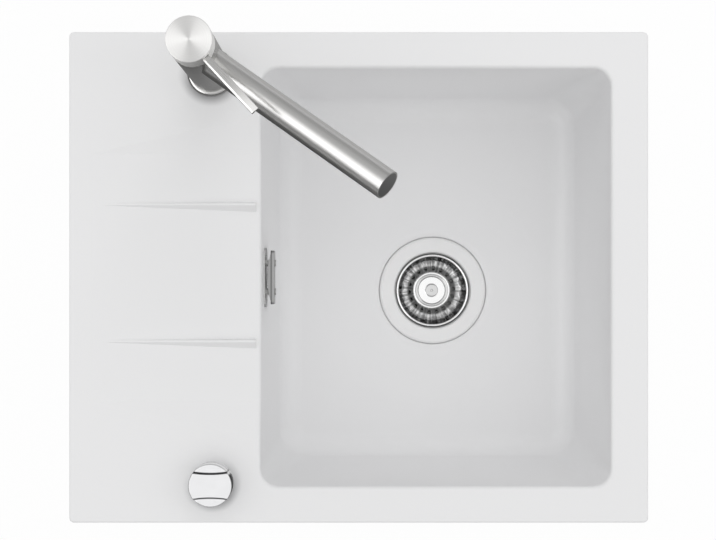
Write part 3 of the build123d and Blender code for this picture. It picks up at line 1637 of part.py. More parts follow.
# The cap's lower edge is cut obliquely, so that it clears the sleeve when the lever is lifted.
with BuildPart() as lever_cap:
    with Locations((tap_x, tap_y, cap_foot)):
        Cylinder(tap_radius, cap_height, align=(Align.CENTER, Align.CENTER, Align.MIN))
    fillet(lever_cap.edges().sort_by(Axis.Z)[-1], radius=0.8)
    with Locations((tap_x, tap_y, cap_foot)):
        Cylinder(
            cap_inner_radius,
            cap_ceiling - cap_foot,
            align=(Align.CENTER, Align.CENTER, Align.MIN),
            mode=Mode.SUBTRACT,
        )
    with BuildSketch(lever_plane):
        with BuildLine():
            Polyline(
                (tap_radius + 1, 1.5),
                (-tap_radius - 1, 1.5 + cap_rear_gap),
                (-tap_radius - 1, -2),
                (tap_radius + 1, -2),
                close=True,
            )
        make_face()
    extrude(amount=tap_radius + 1, both=True, mode=Mode.SUBTRACT)
    with BuildSketch(lever_flat.offset(cap_ceiling)):
        Rectangle(stem_width, stem_width)
    extrude(amount=stem_top - cap_ceiling, mode=Mode.SUBTRACT)
    with BuildSketch(lever_flat.offset(lever_top)):
        with Locations((lever_root + 10, 0)):
            Rectangle(20, lever_width)
    extrude(amount=-lever_height, mode=Mode.SUBTRACT)
    with BuildSketch(Plane(origin=(tap_x, tap_y, set_screw_z), x_dir=(0, 0, 1), z_dir=-lever_plane.x_dir)):
        Circle(set_screw_radius)
    extrude(amount=30, mode=Mode.SUBTRACT)
save(lever_cap, "lever_cap")

with BuildPart() as lever_bar:
    with BuildSketch(lever_flat.offset(lever_top)):
        with Locations(((lever_root + lever_length) / 2, 0)):
            Rectangle(lever_length - lever_root, lever_width)
    extrude(amount=-lever_height)
    fillet(lever_bar.edges().filter_by(Axis.Z).group_by(Axis.X)[-1], radius=0.5)
save(lever_bar, "lever_bar")

with BuildPart() as lever_set_screw:
    with BuildSketch(
        Plane(origin=(tap_x, tap_y, set_screw_z), x_dir=(0, 0, 1), z_dir=-lever_plane.x_dir).offset(
            stem_width / 2
        )
    ):
        Circle(set_screw_radius)
    extrude(amount=12)
save(lever_set_screw, "lever_set_screw")
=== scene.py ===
import json
from math import atan2, cos, degrees, pi, radians, sin

import bpy
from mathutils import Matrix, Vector


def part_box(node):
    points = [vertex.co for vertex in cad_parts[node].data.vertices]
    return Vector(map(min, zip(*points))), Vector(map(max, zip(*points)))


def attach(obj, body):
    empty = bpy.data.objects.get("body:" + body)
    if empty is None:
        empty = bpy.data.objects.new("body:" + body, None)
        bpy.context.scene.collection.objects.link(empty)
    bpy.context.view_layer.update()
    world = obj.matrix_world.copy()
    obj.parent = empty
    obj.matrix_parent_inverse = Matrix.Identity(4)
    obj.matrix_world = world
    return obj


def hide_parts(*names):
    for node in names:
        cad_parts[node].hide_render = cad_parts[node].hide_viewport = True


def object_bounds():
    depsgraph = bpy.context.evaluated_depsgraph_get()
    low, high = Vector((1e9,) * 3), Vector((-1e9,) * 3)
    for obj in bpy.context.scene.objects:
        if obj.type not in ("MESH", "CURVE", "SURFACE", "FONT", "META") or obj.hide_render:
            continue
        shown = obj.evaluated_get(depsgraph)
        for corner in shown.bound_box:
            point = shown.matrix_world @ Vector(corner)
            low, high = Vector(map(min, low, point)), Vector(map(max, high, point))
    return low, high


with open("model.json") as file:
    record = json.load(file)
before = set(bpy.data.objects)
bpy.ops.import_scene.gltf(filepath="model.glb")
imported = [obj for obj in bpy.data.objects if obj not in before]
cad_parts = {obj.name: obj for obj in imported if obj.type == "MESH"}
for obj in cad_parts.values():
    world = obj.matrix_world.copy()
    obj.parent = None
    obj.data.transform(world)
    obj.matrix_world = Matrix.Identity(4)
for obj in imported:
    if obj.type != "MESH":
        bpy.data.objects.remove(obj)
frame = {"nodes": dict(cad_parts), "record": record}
cadLow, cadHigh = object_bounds()
nodes = frame["nodes"]
print("frame loaded:", len(nodes), "nodes")

mm = 0.001


# places read from the frame, and the ways of the spout and the lever

def middleOf(node):
    low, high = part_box(node)
    return (low + high) / 2


def widthOf(node):
    low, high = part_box(node)
    return high.x - low.x


def aimed(azimuth, rise=0):
    # the way at an azimuth and a rise, both in degrees
    a = radians(azimuth)
    r = radians(rise)
    return Vector((cos(a) * cos(r), sin(a) * cos(r), sin(r)))


drain = middleOf("strainer_basket")
tap = middleOf("tap_base_ring")
knob = middleOf("rotary_knob")
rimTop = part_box("sink_body")[1].z
origin = (0, 0, 0)
upward = (0, 0, 1)
toRight = (1, 0, 0)
toRear = (0, 1, 0)
spoutAim = -36.4  # degrees, the same as the tube's
spoutRise = 20
leverAim = -47
spoutAxis = aimed(spoutAim, spoutRise)
spoutSide = aimed(spoutAim + 90)
leverAxis = aimed(leverAim)


# camera, straight above the sink

view = {
    "frame": (716, 540),  # pixels
    "nadir": (350, 277),  # the pixel that the camera stands above
    "height": 1.5,  # above the rim
    "focal": 1473.3,  # pixels
    "sensor": 36,  # mm
    "stand": (-8.9 * mm, 0.4 * mm),
}


def setUpCamera():
    camera = bpy.data.objects.new("camera", bpy.data.cameras.new("camera"))
    bpy.context.scene.collection.objects.link(camera)
    wide, high = view["frame"]
    camera.data.sensor_width = view["sensor"]
    camera.data.lens = view["focal"] / wide * view["sensor"]
    camera.data.shift_x = (wide / 2 - view["nadir"][0]) / wide
    camera.data.shift_y = (view["nadir"][1] - high / 2) / wide
    camera.location = (*view["stand"], rimTop + view["height"])
    bpy.context.scene.camera = camera


setUpCamera()
bpy.context.scene.view_settings.view_transform = "Standard"
print("camera set")


# shader maths

def grey(value):
    return (value, value, value)


def scaled(colour, share):
    return tuple(min(1, share * part) for part in colour)


def asColour(tone):
    # what a colour socket takes, from a wire, three parts or one grey value
    if isinstance(tone, Wire):
        return tone
    parts = tone if isinstance(tone, tuple) else grey(tone)
    return (*parts, 1)


class Wire:
    # one value in a node tree; sums and products of wires add Math nodes

    def __init__(self, finish, socket):
        self.finish = finish
        self.socket = socket

    def maths(self, operation, *values):
        return self.finish.add(
            "ShaderNodeMath", {"operation": operation}, dict(enumerate(values))
        )

    def __add__(self, other):
        return self.maths("ADD", self, other)

    def __radd__(self, other):
        return self.maths("ADD", other, self)

    def __sub__(self, other):
        return self.maths("SUBTRACT", self, other)

    def __rsub__(self, other):
        return self.maths("SUBTRACT", other, self)

    def __mul__(self, other):
        return self.maths("MULTIPLY", self, other)

    def __rmul__(self, other):
        return self.maths("MULTIPLY", other, self)

    def __truediv__(self, other):
        return self.maths("DIVIDE", self, other)

    def above(self, other):
        return self.maths("GREATER_THAN", self, other)

    def size(self):
        return self.maths("ABSOLUTE", self)

    def ramp(self, start, end):
        # 0 below start, 1 above end, smooth between
        return self.finish.add(
            "ShaderNodeMapRange",
            {"interpolation_type": "SMOOTHSTEP"},
            {"Value": self, "From Min": start, "From Max": end},
        )


class Finish:
    # a node tree being built, of a material or of the world

    def __init__(self, owner):
        self.owner = owner
        owner.use_nodes = True
        self.tree = owner.node_tree
        self.tree.nodes.clear()

    def add(self, kind, settings=None, inputs=None, output=0):
        node = self.tree.nodes.new(kind)
        for key, value in (settings or {}).items():
            setattr(node, key, value)
        for key, value in (inputs or {}).items():
            if isinstance(value, Wire):
                self.tree.links.new(value.socket, node.inputs[key])
            else:
                node.inputs[key].default_value = value
        return Wire(self, node.outputs[output]) if node.outputs else None

    def place(self):
        # the point on the piece, in metres in the frame
        return self.add("ShaderNodeTexCoord", output="Object")

    def vector(self, operation, *values, output="Vector"):
        return self.add(
            "ShaderNodeVectorMath", {"operation": operation}, dict(enumerate(values)), output
        )

    def along(self, axis, centre):
        # distance along an axis from a centre
        offset = self.vector("SUBTRACT", self.place(), tuple(centre))
        return self.vector("DOT_PRODUCT", offset, tuple(axis), output="Value")

    def around(self, axis, centre):
        # distance from an axis through a centre
        offset = self.vector("SUBTRACT", self.place(), tuple(centre))
        across = self.vector("CROSS_PRODUCT", offset, tuple(axis))
        return self.vector("LENGTH", across, output="Value")

    def noise(self, scale, detail=2, stretch=None):
        # soft noise from 0 to 1; scale is in cells for each metre
        place = self.place()
        if stretch:
            place = self.vector("MULTIPLY", place, stretch)
        return self.add(
            "ShaderNodeTexNoise",
            {"noise_dimensions": "3D"},
            {"Vector": place, "Scale": scale, "Detail": detail},
        )

    def lineNoise(self, value, scale, detail=2):
        # noise along one value alone, for brushed and turned lines
        return self.add(
            "ShaderNodeTexNoise",
            {"noise_dimensions": "1D"},
            {"W": value, "Scale": scale, "Detail": detail},
        )

    def blend(self, share, first, second):
        # sockets 6 and 7 are the two colours, output 2 is the mixed one
        return self.add(
            "ShaderNodeMix",
            {"data_type": "RGBA"},
            {0: share, 6: asColour(first), 7: asColour(second)},
            output=2,
        )

    def passing(self, value, rise, first, second):
        # a tone that passes into another as a value rises
        return self.blend(value.ramp(*rise), first, second)

    def bump(self, height, strength, depth):
        return self.add(
            "ShaderNodeBump", None, {"Height": height, "Strength": strength, "Distance": depth}
        )

    def surface(self, inputs):
        shader = self.add("ShaderNodeBsdfPrincipled", None, inputs)
        self.add("ShaderNodeOutputMaterial", None, {"Surface": shader})
        return self.owner


def newFinish(name):
    return Finish(bpy.data.materials.new(name))


def uneven(base, *changes):
    # a value that each noise moves up and down by half the amount beside it
    for amount, noise in changes:
        base = base + amount * (noise - 0.5)
    return base


# finishes; noise scales are in cells for each metre

compositeLook = {
    "white": (0.86, 0.86, 0.865),
    "fleck": (0.825, 0.825, 0.83),
    "fleckRise": (0.60, 0.72),  # the grain's values from which a fleck shows and is full
    # the tone of the painted contact shadow round the fittings
    "shadowTone": (0.24, 0.24, 0.245),
    "gloss": 0.47,
    "grain": 1400,
    "fine": 5200,
    "cloud": 9,
    "relief": 0.03 * mm,
}

# painted contact shadow on the composite round the fittings: the share at the foot, how much
# more on the darkest side, the way to that side in degrees, and how far the shadow reaches
paintedShadowRings = {
    "tap_base_ring": (0.31, 0.54, -105, 11 * mm),
    "rotary_knob": (0.40, 0.36, -65, 10 * mm),
}
ringStart = 2 * mm  # inside the fitting's edge


def paintedShadowShare(finish, node):
    # the share of painted contact shadow round one fitting, deeper on one side
    share, lean, aim, reach = paintedShadowRings[node]
    centre = middleOf(node)
    radius = widthOf(node) / 2
    fade = finish.around(upward, centre).ramp(radius - ringStart, radius + reach)
    sideways = finish.along(aimed(aim), centre) / radius
    return (1 - fade) * (share + lean * sideways)


def compositeFinish():
    look = compositeLook
    finish = newFinish("quartzComposite")
    grain = finish.noise(look["grain"], 3)
    fine = finish.noise(look["fine"])
    cloud = finish.noise(look["cloud"])
    colour = finish.passing(grain, look["fleckRise"], look["white"], look["fleck"])
    # painted contact shadow round the tap's foot and round the knob
    for node in paintedShadowRings:
        colour = finish.blend(paintedShadowShare(finish, node), colour, look["shadowTone"])
    return finish.surface({
        "Base Color": colour,
        "Roughness": uneven(look["gloss"], (0.05, cloud), (0.06, fine)),
        "Normal": finish.bump(grain + fine, 0.25, look["relief"]),
    })


steelLook = {
    "tone": (0.66, 0.655, 0.645),
    "pitch": 0.12 * mm,  # of the fine lines
    "coarse": 9,  # fine pitches in a coarse one
    "darkest": 0.93,  # of the tone
    "brightest": 1.06,
    "wear": 60,
    "relief": 0.004 * mm,
}


def linesAlong(axis, centre):
    return lambda finish: finish.along(axis, centre)


def linesAround(axis, centre):
    return lambda finish: finish.around(axis, centre)


def steelFinish(name, tone, gloss, lines, more=None):
    # steel with fine lines where a value, such as a height, stays the same
    look = steelLook
    finish = newFinish(name)
    value = lines(finish)
    coarse = finish.lineNoise(value, 1 / (look["pitch"] * look["coarse"]))
    fine = finish.lineNoise(value, 1 / look["pitch"], 3)
    wear = finish.noise(look["wear"], 3)
    dark = scaled(tone, look["darkest"])
    bright = scaled(tone, look["brightest"])
    return finish.surface({
        "Base Color": finish.blend(0.55 * fine + 0.45 * coarse, dark, bright),
        "Metallic": 1.0,
        "Roughness": uneven(gloss, (0.10, fine), (0.05, wear)),
        "Normal": finish.bump(0.6 * fine + 0.4 * coarse, 0.35, look["relief"]),
        **(more or {}),
    })


metalLook = {
    "darkest": 0.9,
    "scratches": 700,
    "stretch": (1, 6, 1),  # squeezes the scratches from front to rear
    "relief": 0.01 * mm,
}


def plainMetalFinish(name, tone, gloss, scale=300, unevenness=0.12):
    look = metalLook
    finish = newFinish(name)
    cloud = finish.noise(scale, 3)
    scratches = finish.noise(look["scratches"], 2, look["stretch"])
    return finish.surface({
        "Base Color": finish.blend(cloud, scaled(tone, look["darkest"]), tone),
        "Metallic": 1.0,
        "Roughness": uneven(gloss, (unevenness, cloud), (0.05, scratches)),
        "Normal": finish.bump(scratches, 0.12, look["relief"]),
    })


plasticLook = {"darkest": 0.92, "cloud": 35}


def plasticFinish(name, tone, gloss, grain=900, depth=0.02 * mm):
    look = plasticLook
    finish = newFinish(name)
    pores = finish.noise(grain, 3)
    cloud = finish.noise(look["cloud"])
    return finish.surface({
        "Base Color": finish.blend(0.5 * cloud + 0.5 * pores, scaled(tone, look["darkest"]), tone),
        "Roughness": uneven(gloss, (0.08, pores), (0.06, cloud)),
        "Normal": finish.bump(pores, 0.3, depth),
    })


rubberLook = {
    "dust": 160,
    "dustRise": (0.45, 0.8),
    "dusty": 2.2,  # times the tone
    "pores": 2400,
    "relief": 0.03 * mm,
}


def rubberFinish(name, tone, gloss):
    look = rubberLook
    finish = newFinish(name)
    dust = finish.noise(look["dust"], 4)
    pores = finish.noise(look["pores"])
    return finish.surface({
        "Base Color": finish.passing(dust, look["dustRise"], tone, scaled(tone, look["dusty"])),
        "Roughness": uneven(gloss, (0.12, dust)),
        "Normal": finish.bump(pores, 0.4, look["relief"]),
    })


# rings of painted light and shade on the basket and on its cap, from the middle outwards: where a
# tone starts to show and where it is full, in mm from the drain's axis, and the tone
# the basket: painted shade on its floor round the cap and in a ring under the rolled rim, lighter
# between
basketShadeRings = [
    (0, 0, 0.11),
    (26.5, 30.0, 0.46),
    (34.0, 37.6, 0.36),
    (38.9, 39.3, 0.90),
]
# the cap: painted shade in its middle and in a ring near its edge, lighter between
basketCapShadeRings = [
    (0, 0, 0.62),
    (7.2, 7.6, 0.86),
    (15.2, 15.9, 0.60),
    (18.4, 19.2, 0.86),
]


def rings(finish, rows):
    far = finish.around(upward, drain)
    tone = rows[0][2]
    for start, end, nextTone in rows[1:]:
        tone = finish.passing(far, (start * mm, end * mm), tone, nextTone)
    return tone


drawnLook = {
    "gloss": 0.22,
    "streaks": 11,  # cells for each radian round the drain
    "streakRise": (0.3, 0.72),
    "streakDepth": 0.8,
    "streakShift": 0.45,
    "cloud": 300,
    "bead": (38.2 * mm, 38.8 * mm),  # the rolled rim has no streaks
    "relief": 0.25 * mm,
}


def drawnFinish():
    # deep-drawn steel with streaks up the wall: draw marks in roughness and bump, painted
    # reflection in colour
    look = drawnLook
    finish = newFinish("drawnSteel")
    offset = finish.vector("SUBTRACT", finish.place(), tuple(drain))
    x, y = [
        finish.add("ShaderNodeSeparateXYZ", None, {0: offset}, output=axis) for axis in ("X", "Y")
    ]
    turn = x.maths("ARCTAN2", y, x)
    streaks = finish.lineNoise(turn, look["streaks"], 3).ramp(*look["streakRise"])
    cloud = finish.noise(look["cloud"], 3)
    bead = finish.around(upward, drain).ramp(*look["bead"])
    # painted reflection streaks in the wall's colour, none on the rolled rim
    light = 1 + (1 - bead) * (look["streakDepth"] * streaks - look["streakShift"])
    tone = finish.add(
        "ShaderNodeVectorMath",
        {"operation": "SCALE"},
        {0: rings(finish, basketShadeRings), "Scale": light},
    )
    return finish.surface({
        "Base Color": tone,
        "Metallic": 1.0,
        "Roughness": uneven(look["gloss"], (0.12, cloud), (0.10, streaks)),
        "Normal": finish.bump(streaks * (1 - bead), 0.4, look["relief"]),
    })


spunLook = {"gloss": 0.20, "pitch": 0.1 * mm, "cloud": 250, "relief": 0.003 * mm}


def basketCapFinish():
    look = spunLook
    finish = newFinish("spunCap")
    fine = finish.lineNoise(finish.around(upward, drain), 1 / look["pitch"], 3)
    cloud = finish.noise(look["cloud"], 3)
    return finish.surface({
        # painted shade rings in the cap's colour
        "Base Color": rings(finish, basketCapShadeRings),
        "Metallic": 1.0,
        "Roughness": uneven(look["gloss"], (0.06, fine), (0.06, cloud)),
        "Normal": finish.bump(fine, 0.25, look["relief"]),
    })


knobLook = {
    "tones": ((0.72, 0.72, 0.73), (0.80, 0.80, 0.81)),
    "gloss": 0.22,
    "cloud": 120,
    "brushed": 9000,
    "relief": 0.003 * mm,
    "shadeLineTone": (0.16, 0.16, 0.165),
    "lineMiddle": 11.2 * mm,  # from the knob's middle to the line, at the line's own middle
    "lineBow": 5.5,  # how fast the line leaves the middle, for each metre along it, squared
    "lineStart": (-0.2 * mm, 0.4 * mm),
    "lineEnd": (1.3 * mm, 2.0 * mm),
}


def knobFinish():
    # satin chrome, with painted shade along the foot of each scoop
    look = knobLook
    finish = newFinish("satinChrome")
    x = finish.along(toRight, knob)
    y = finish.along(toRear, knob)
    past = y.size() - look["lineMiddle"] - look["lineBow"] * x * x
    # painted shade: a dark line along the foot of each scoop
    paintedShadeLine = past.ramp(*look["lineStart"]) * (1 - past.ramp(*look["lineEnd"]))
    cloud = finish.noise(look["cloud"], 3)
    brushed = finish.lineNoise(y, look["brushed"])
    plain = finish.blend(cloud, *look["tones"])
    return finish.surface({
        "Base Color": finish.blend(paintedShadeLine, plain, look["shadeLineTone"]),
        "Metallic": 1.0,
        "Roughness": uneven(look["gloss"], (0.05, cloud), (0.06, brushed)),
        "Normal": finish.bump(brushed, 0.2, look["relief"]),
    })


plateLook = {
    "tones": (0.31, 0.37),
    "gloss": 0.30,
    "pitch": 0.12 * mm,
    "cloud": 60,
    "relief": 0.004 * mm,
    "foldShadeTone": 0.17,
    "foldShade": (-91.4 * mm, -90.2 * mm),  # where the overflow plate folds into its lip
    "foldEdge": 0.4 * mm,
}


def plateFinish():
    # brushed steel of the overflow plate, with painted shade in its fold
    look = plateLook
    finish = newFinish("brushedPlate")
    x = finish.along(toRight, origin)
    first, last = look["foldShade"]
    edge = look["foldEdge"]
    # painted shade along the fold into the lip
    foldShade = x.ramp(first - edge, first) * (1 - x.ramp(last, last + edge))
    fine = finish.lineNoise(x, 1 / look["pitch"], 3)
    cloud = finish.noise(look["cloud"], 3)
    tone = finish.blend(fine, *look["tones"])
    return finish.surface({
        "Base Color": finish.blend(foldShade, tone, look["foldShadeTone"]),
        "Metallic": 1.0,
        "Roughness": uneven(look["gloss"], (0.10, fine), (0.05, cloud)),
        "Normal": finish.bump(fine, 0.3, look["relief"]),
    })


steelTone = steelLook["tone"]
spunTop = {"Anisotropic": 0.85, "Anisotropic Rotation": 0.25}  # draws the cap's gloss into a fan

finishes = {
    "composite": compositeFinish(),
    "drawn": drawnFinish(),
    "basketCap": basketCapFinish(),
    "whiteTrim": plasticFinish("whiteTrim", grey(0.92), 0.32, 1200, 0.008 * mm),
    "column": steelFinish("turnedSteel", steelTone, 0.24, linesAlong(upward, tap)),
    "spout": steelFinish("brushedTube", steelTone, 0.33, linesAlong(spoutAxis, tap)),
    "cap": steelFinish(
        "turnedCap", (0.86, 0.855, 0.845), 0.50, linesAround(upward, tap), spunTop
    ),
    "lever": steelFinish("brushedLever", steelTone, 0.26, linesAround(leverAxis, tap)),
    "plate": plateFinish(),
    "endPlug": steelFinish("turnedEnd", grey(0.30), 0.35, linesAround(spoutAxis, tap)),
    "polished": plainMetalFinish("polishedSteel", grey(0.80), 0.10, 200, 0.06),
    "pressed": plainMetalFinish("pressedSteel", grey(0.50), 0.30),
    "plated": plainMetalFinish("platedSteel", (0.58, 0.58, 0.57), 0.34),
    "knob": knobFinish(),
    "brass": plainMetalFinish("turnedBrass", (0.72, 0.58, 0.32), 0.32),
    "rubber": rubberFinish("sealRubber", (0.04, 0.04, 0.042), 0.62),
    "foam": rubberFinish("sealingTape", (0.17, 0.17, 0.175), 0.85),
    "greyPlastic": plasticFinish("greyPlastic", (0.16, 0.16, 0.165), 0.5),
    "whitePlastic": plasticFinish("whitePlastic", (0.80, 0.80, 0.79), 0.42),
    "ceramic": plasticFinish("groundCeramic", (0.86, 0.85, 0.82), 0.28, 2000, 0.004 * mm),
}

slotFinish = {
    "composite": "composite",
    "white_trim": "whiteTrim",
    "brushed_steel": "column",
    "polished_steel": "polished",
    "pressed_steel": "pressed",
    "knob_metal": "knob",
    "plain_steel": "plated",
    "brass": "brass",
    "seal_rubber": "rubber",
    "foam_seal": "foam",
    "grey_plastic": "greyPlastic",
    "white_plastic": "whitePlastic",
    "end_plug_steel": "endPlug",
    "ceramic": "ceramic",
}

# nodes whose finish isn't their slot's
nodeFinish = {
    "spout_tube": "spout",
    "lever_cap": "cap",
    "lever_bar": "lever",
    "cartridge_nut": "plated",
    "basket_cap": "basketCap",
    "strainer_basket": "drawn",
    "overflow_plate": "plate",
}


def wear(piece, finish):
    piece.data.materials.clear()
    piece.data.materials.append(finishes[finish])


slotOf = {row["node"]: row["material_slot"] for row in frame["record"]["subparts"]}
for name, slot in slotOf.items():
    wear(nodes[name], nodeFinish.get(name, slotFinish[slot]))
print("finishes on", len(nodes), "nodes")


# modelling helpers

exact = 0.001 * mm  # how near a corner lies to a cut to count as on it


def clearSelection():
    bpy.ops.object.select_all(action="DESELECT")


def makeActive(piece):
    piece.select_set(True)
    bpy.context.view_layer.objects.active = piece


def pick(piece, test, kind="vertices"):
    # selects the corners or faces that pass a test, and stays in edit mode
    if bpy.context.object.mode == "EDIT":
        bpy.ops.object.mode_set(mode="OBJECT")
    for group in (piece.data.vertices, piece.data.edges, piece.data.polygons):
        for part in group:
            part.select = False
    for part in getattr(piece.data, kind):
        part.select = test(part.co if kind == "vertices" else part.center)
    bpy.context.tool_settings.mesh_select_mode = (kind == "vertices", False, kind == "polygons")
    bpy.ops.object.mode_set(mode="EDIT")


def settle(piece):
    # puts the piece's place, turn and size into its mesh
    bpy.ops.object.transform_apply(location=True, rotation=True, scale=True)
    return piece


def applyModifier(piece, kind, **settings):
    modifier = piece.modifiers.new(kind.lower(), kind)
    for key, value in settings.items():
        setattr(modifier, key, value)
    bpy.ops.object.modifier_apply(modifier=modifier.name)


def finishPiece(piece, finish, body, node, angle):
    # outward faces, smooth shading, its material, its body, and the node that it stands for
    bpy.ops.object.mode_set(mode="EDIT")
    bpy.ops.mesh.select_all(action="SELECT")
    bpy.ops.mesh.normals_make_consistent(inside=False)
    bpy.ops.object.mode_set(mode="OBJECT")
    bpy.ops.object.shade_smooth_by_angle(angle=radians(angle))
    wear(piece, finish)
    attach(piece, body)
    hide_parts(node)
    print("made", piece.name, len(piece.data.polygons), "faces")


# the strainer basket: a deep-drawn cup with pressed flutes, slots and a rolled rim

basket = {
    "flutes": 18,
    "turn": 4.5,  # degrees, of the first flute
    "steps": 90,  # round the drain, five to a flute
    "steel": 0.9 * mm,
    "stemHole": 4.2 * mm,
    "floor": (14 * mm, 22 * mm),  # rows on the flat floor, before the slots
    "slot": (24.2 * mm, 27.8 * mm),
    "slotSide": 4,  # degrees from a flute's middle that a slot's faces stay within
    "floorRadius": 28.2 * mm,  # where the bend to the wall starts
    "bend": 10.4 * mm,
    "upperBend": (55, 72, 90),  # degrees round the bend, of the rows over the flutes
    "rimBead": 1.6 * mm,
    "beadTurn": (180, 150, 120, 90, 60, 30, 0, -35, -70),  # degrees round the rolled rim
    "fluteDepth": 1.5 * mm,
    "fluteRows": {0: 0.35, 10: 0.8, 20: 1.0, 30: 1.0, 40: 0.75},  # depth share at each bend angle
    "fluteSides": {0: 1.0, 4: 0.6},  # depth share at each angle from a flute's middle
    "rowWidth": 0.15 * mm,  # how near a corner lies to a row to belong to it
    "sideWidth": 0.5,  # degrees
    "smooth": 60,  # degrees, up to which an edge is shaded smooth
}


def aroundDrain(place):
    # distance from the drain's axis, and degrees from the nearest flute's middle
    across = place - drain
    pitch = 360 / basket["flutes"]
    angle = (degrees(atan2(across.y, across.x)) - basket["turn"]) % pitch
    return across.xy.length, min(angle, pitch - angle)


def basketProfile(floorTop, rimTop):
    # radius and height of each row, from the stem's hole out and up to the rolled rim
    bend = basket["bend"]
    bead = basket["rimBead"]
    beadMiddle = widthOf("strainer_basket") / 2 - bead
    flatRows = (basket["stemHole"], *basket["floor"], *basket["slot"])
    profile = [(radius, floorTop) for radius in flatRows]
    for angle in (*basket["fluteRows"], *basket["upperBend"]):
        a = radians(angle)
        profile.append((basket["floorRadius"] + bend * sin(a), floorTop + bend * (1 - cos(a))))
    for angle in basket["beadTurn"]:
        a = radians(angle)
        profile.append((beadMiddle + bead * cos(a), rimTop - bead + bead * sin(a)))
    return profile


def drawCup(profile):
    # each row is the last one's edge, lifted and widened
    clearSelection()
    radius, height = profile[0]
    bpy.ops.mesh.primitive_circle_add(
        vertices=basket["steps"],
        radius=radius,
        location=(drain.x, drain.y, height),
        rotation=(0, 0, radians(basket["turn"] - 90)),
    )
    piece = settle(bpy.context.object)
    piece.name = "flutedBasket"
    bpy.ops.object.mode_set(mode="EDIT")
    bpy.ops.mesh.select_all(action="SELECT")
    for nextRadius, nextHeight in profile[1:]:
        lift = (0, 0, nextHeight - height)
        bpy.ops.mesh.extrude_edges_move(TRANSFORM_OT_translate={"value": lift})
        bpy.ops.transform.resize(
            value=(nextRadius / radius, nextRadius / radius, 1),
            center_override=(drain.x, drain.y, nextHeight),
        )
        radius, height = nextRadius, nextHeight
    return piece


def pressFlutes(piece, floorTop):
    # the flutes are pressed outwards from the bend's centre
    bend = basket["bend"]
    centre = (drain.x, drain.y, floorTop + bend)
    for angle, share in basket["fluteRows"].items():
        rowRadius = basket["floorRadius"] + bend * sin(radians(angle))
        reach = (rowRadius**2 + (bend * cos(radians(angle))) ** 2) ** 0.5
        for side, sideShare in basket["fluteSides"].items():
            def onRow(place, rowRadius=rowRadius, side=side):
                far, off = aroundDrain(place)
                onRadius = abs(far - rowRadius) < basket["rowWidth"]
                return onRadius and abs(off - side) < basket["sideWidth"]
            pick(piece, onRow)
            grown = 1 + basket["fluteDepth"] * share * sideShare / reach
            bpy.ops.transform.resize(value=(grown, grown, grown), center_override=centre)


def cutSlots(piece):
    # one slot at the foot of each flute
    def inSlot(place):
        far, off = aroundDrain(place)
        return basket["slot"][0] < far < basket["slot"][1] and off < basket["slotSide"]
    pick(piece, inSlot, "polygons")
    bpy.ops.mesh.delete(type="FACE")


def makeBasket():
    low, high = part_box("strainer_basket")
    floorTop = low.z + basket["steel"]
    piece = drawCup(basketProfile(floorTop, high.z))
    pressFlutes(piece, floorTop)
    cutSlots(piece)
    # the sheet faces up and inwards, so that its steel is added behind it
    bpy.ops.mesh.select_all(action="SELECT")
    bpy.ops.mesh.normals_make_consistent(inside=True)
    bpy.ops.object.mode_set(mode="OBJECT")
    applyModifier(piece, "SOLIDIFY", thickness=basket["steel"], offset=-1)
    applyModifier(piece, "SUBSURF", levels=1, render_levels=1)
    finishPiece(piece, "drawn", "basket", "strainer_basket", basket["smooth"])


makeBasket()


# the lever's bar, with a low ridge along its top

lever = {
    "width": 7.6 * mm,
    "ridge": -1.8 * mm,  # from the bar's middle, less than nothing to the front left
    "leftDrop": 0.95 * mm,
    "rightDrop": 1.9 * mm,
    "edgeShare": 0.45,  # of the width, past which a corner is at the side
    "edgeBevel": 0.4 * mm,
    "sharp": 50,  # degrees from which an edge is bevelled
    "smooth": 25,
}


def makeLeverBar():
    low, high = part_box("lever_bar")
    middle = (low + high) / 2
    side = aimed(leverAim + 90)
    width = lever["width"]
    # the box round the turned bar gives the bar's length
    length = (widthOf("lever_bar") - width * abs(side.x)) / abs(leverAxis.x)
    clearSelection()
    bpy.ops.mesh.primitive_cube_add(
        size=1,
        location=middle,
        rotation=(0, 0, radians(leverAim)),
        scale=(length, width, high.z - low.z),
    )
    piece = settle(bpy.context.object)
    piece.name = "bevelledLeverBar"

    bpy.ops.object.mode_set(mode="EDIT")
    bpy.ops.mesh.select_all(action="SELECT")
    bpy.ops.mesh.bisect(plane_co=middle + lever["ridge"] * side, plane_no=side, threshold=exact)
    for way, drop in ((-1, lever["leftDrop"]), (1, lever["rightDrop"])):
        def onEdge(place, way=way):
            offset = way * (place - middle).dot(side)
            return place.z > middle.z and offset > lever["edgeShare"] * width
        pick(piece, onEdge)
        bpy.ops.transform.translate(value=(0, 0, -drop))
    bpy.ops.object.mode_set(mode="OBJECT")
    applyModifier(
        piece,
        "BEVEL",
        width=lever["edgeBevel"],
        segments=3,
        limit_method="ANGLE",
        angle_limit=radians(lever["sharp"]),
    )
    finishPiece(piece, "lever", "lever", "lever_bar", lever["smooth"])


makeLeverBar()


# threaded rods: the stud under the tap and the screws of the clips

thread = {
    "steps": 20,
    "depth": 0.55,  # this and the next two are shares of the pitch
    "flank": 0.375,
    "flat": 0.125,
    "spare": 3,  # more turns, for the cuts to take off
    "drop": 1.5,  # pitches from the first turn's start to the rod's foot
    "seam": 0.01 * mm,  # how near the corners of two turns lie to become one
    "weld": 0.005 * mm,
    "smooth": 30,
}


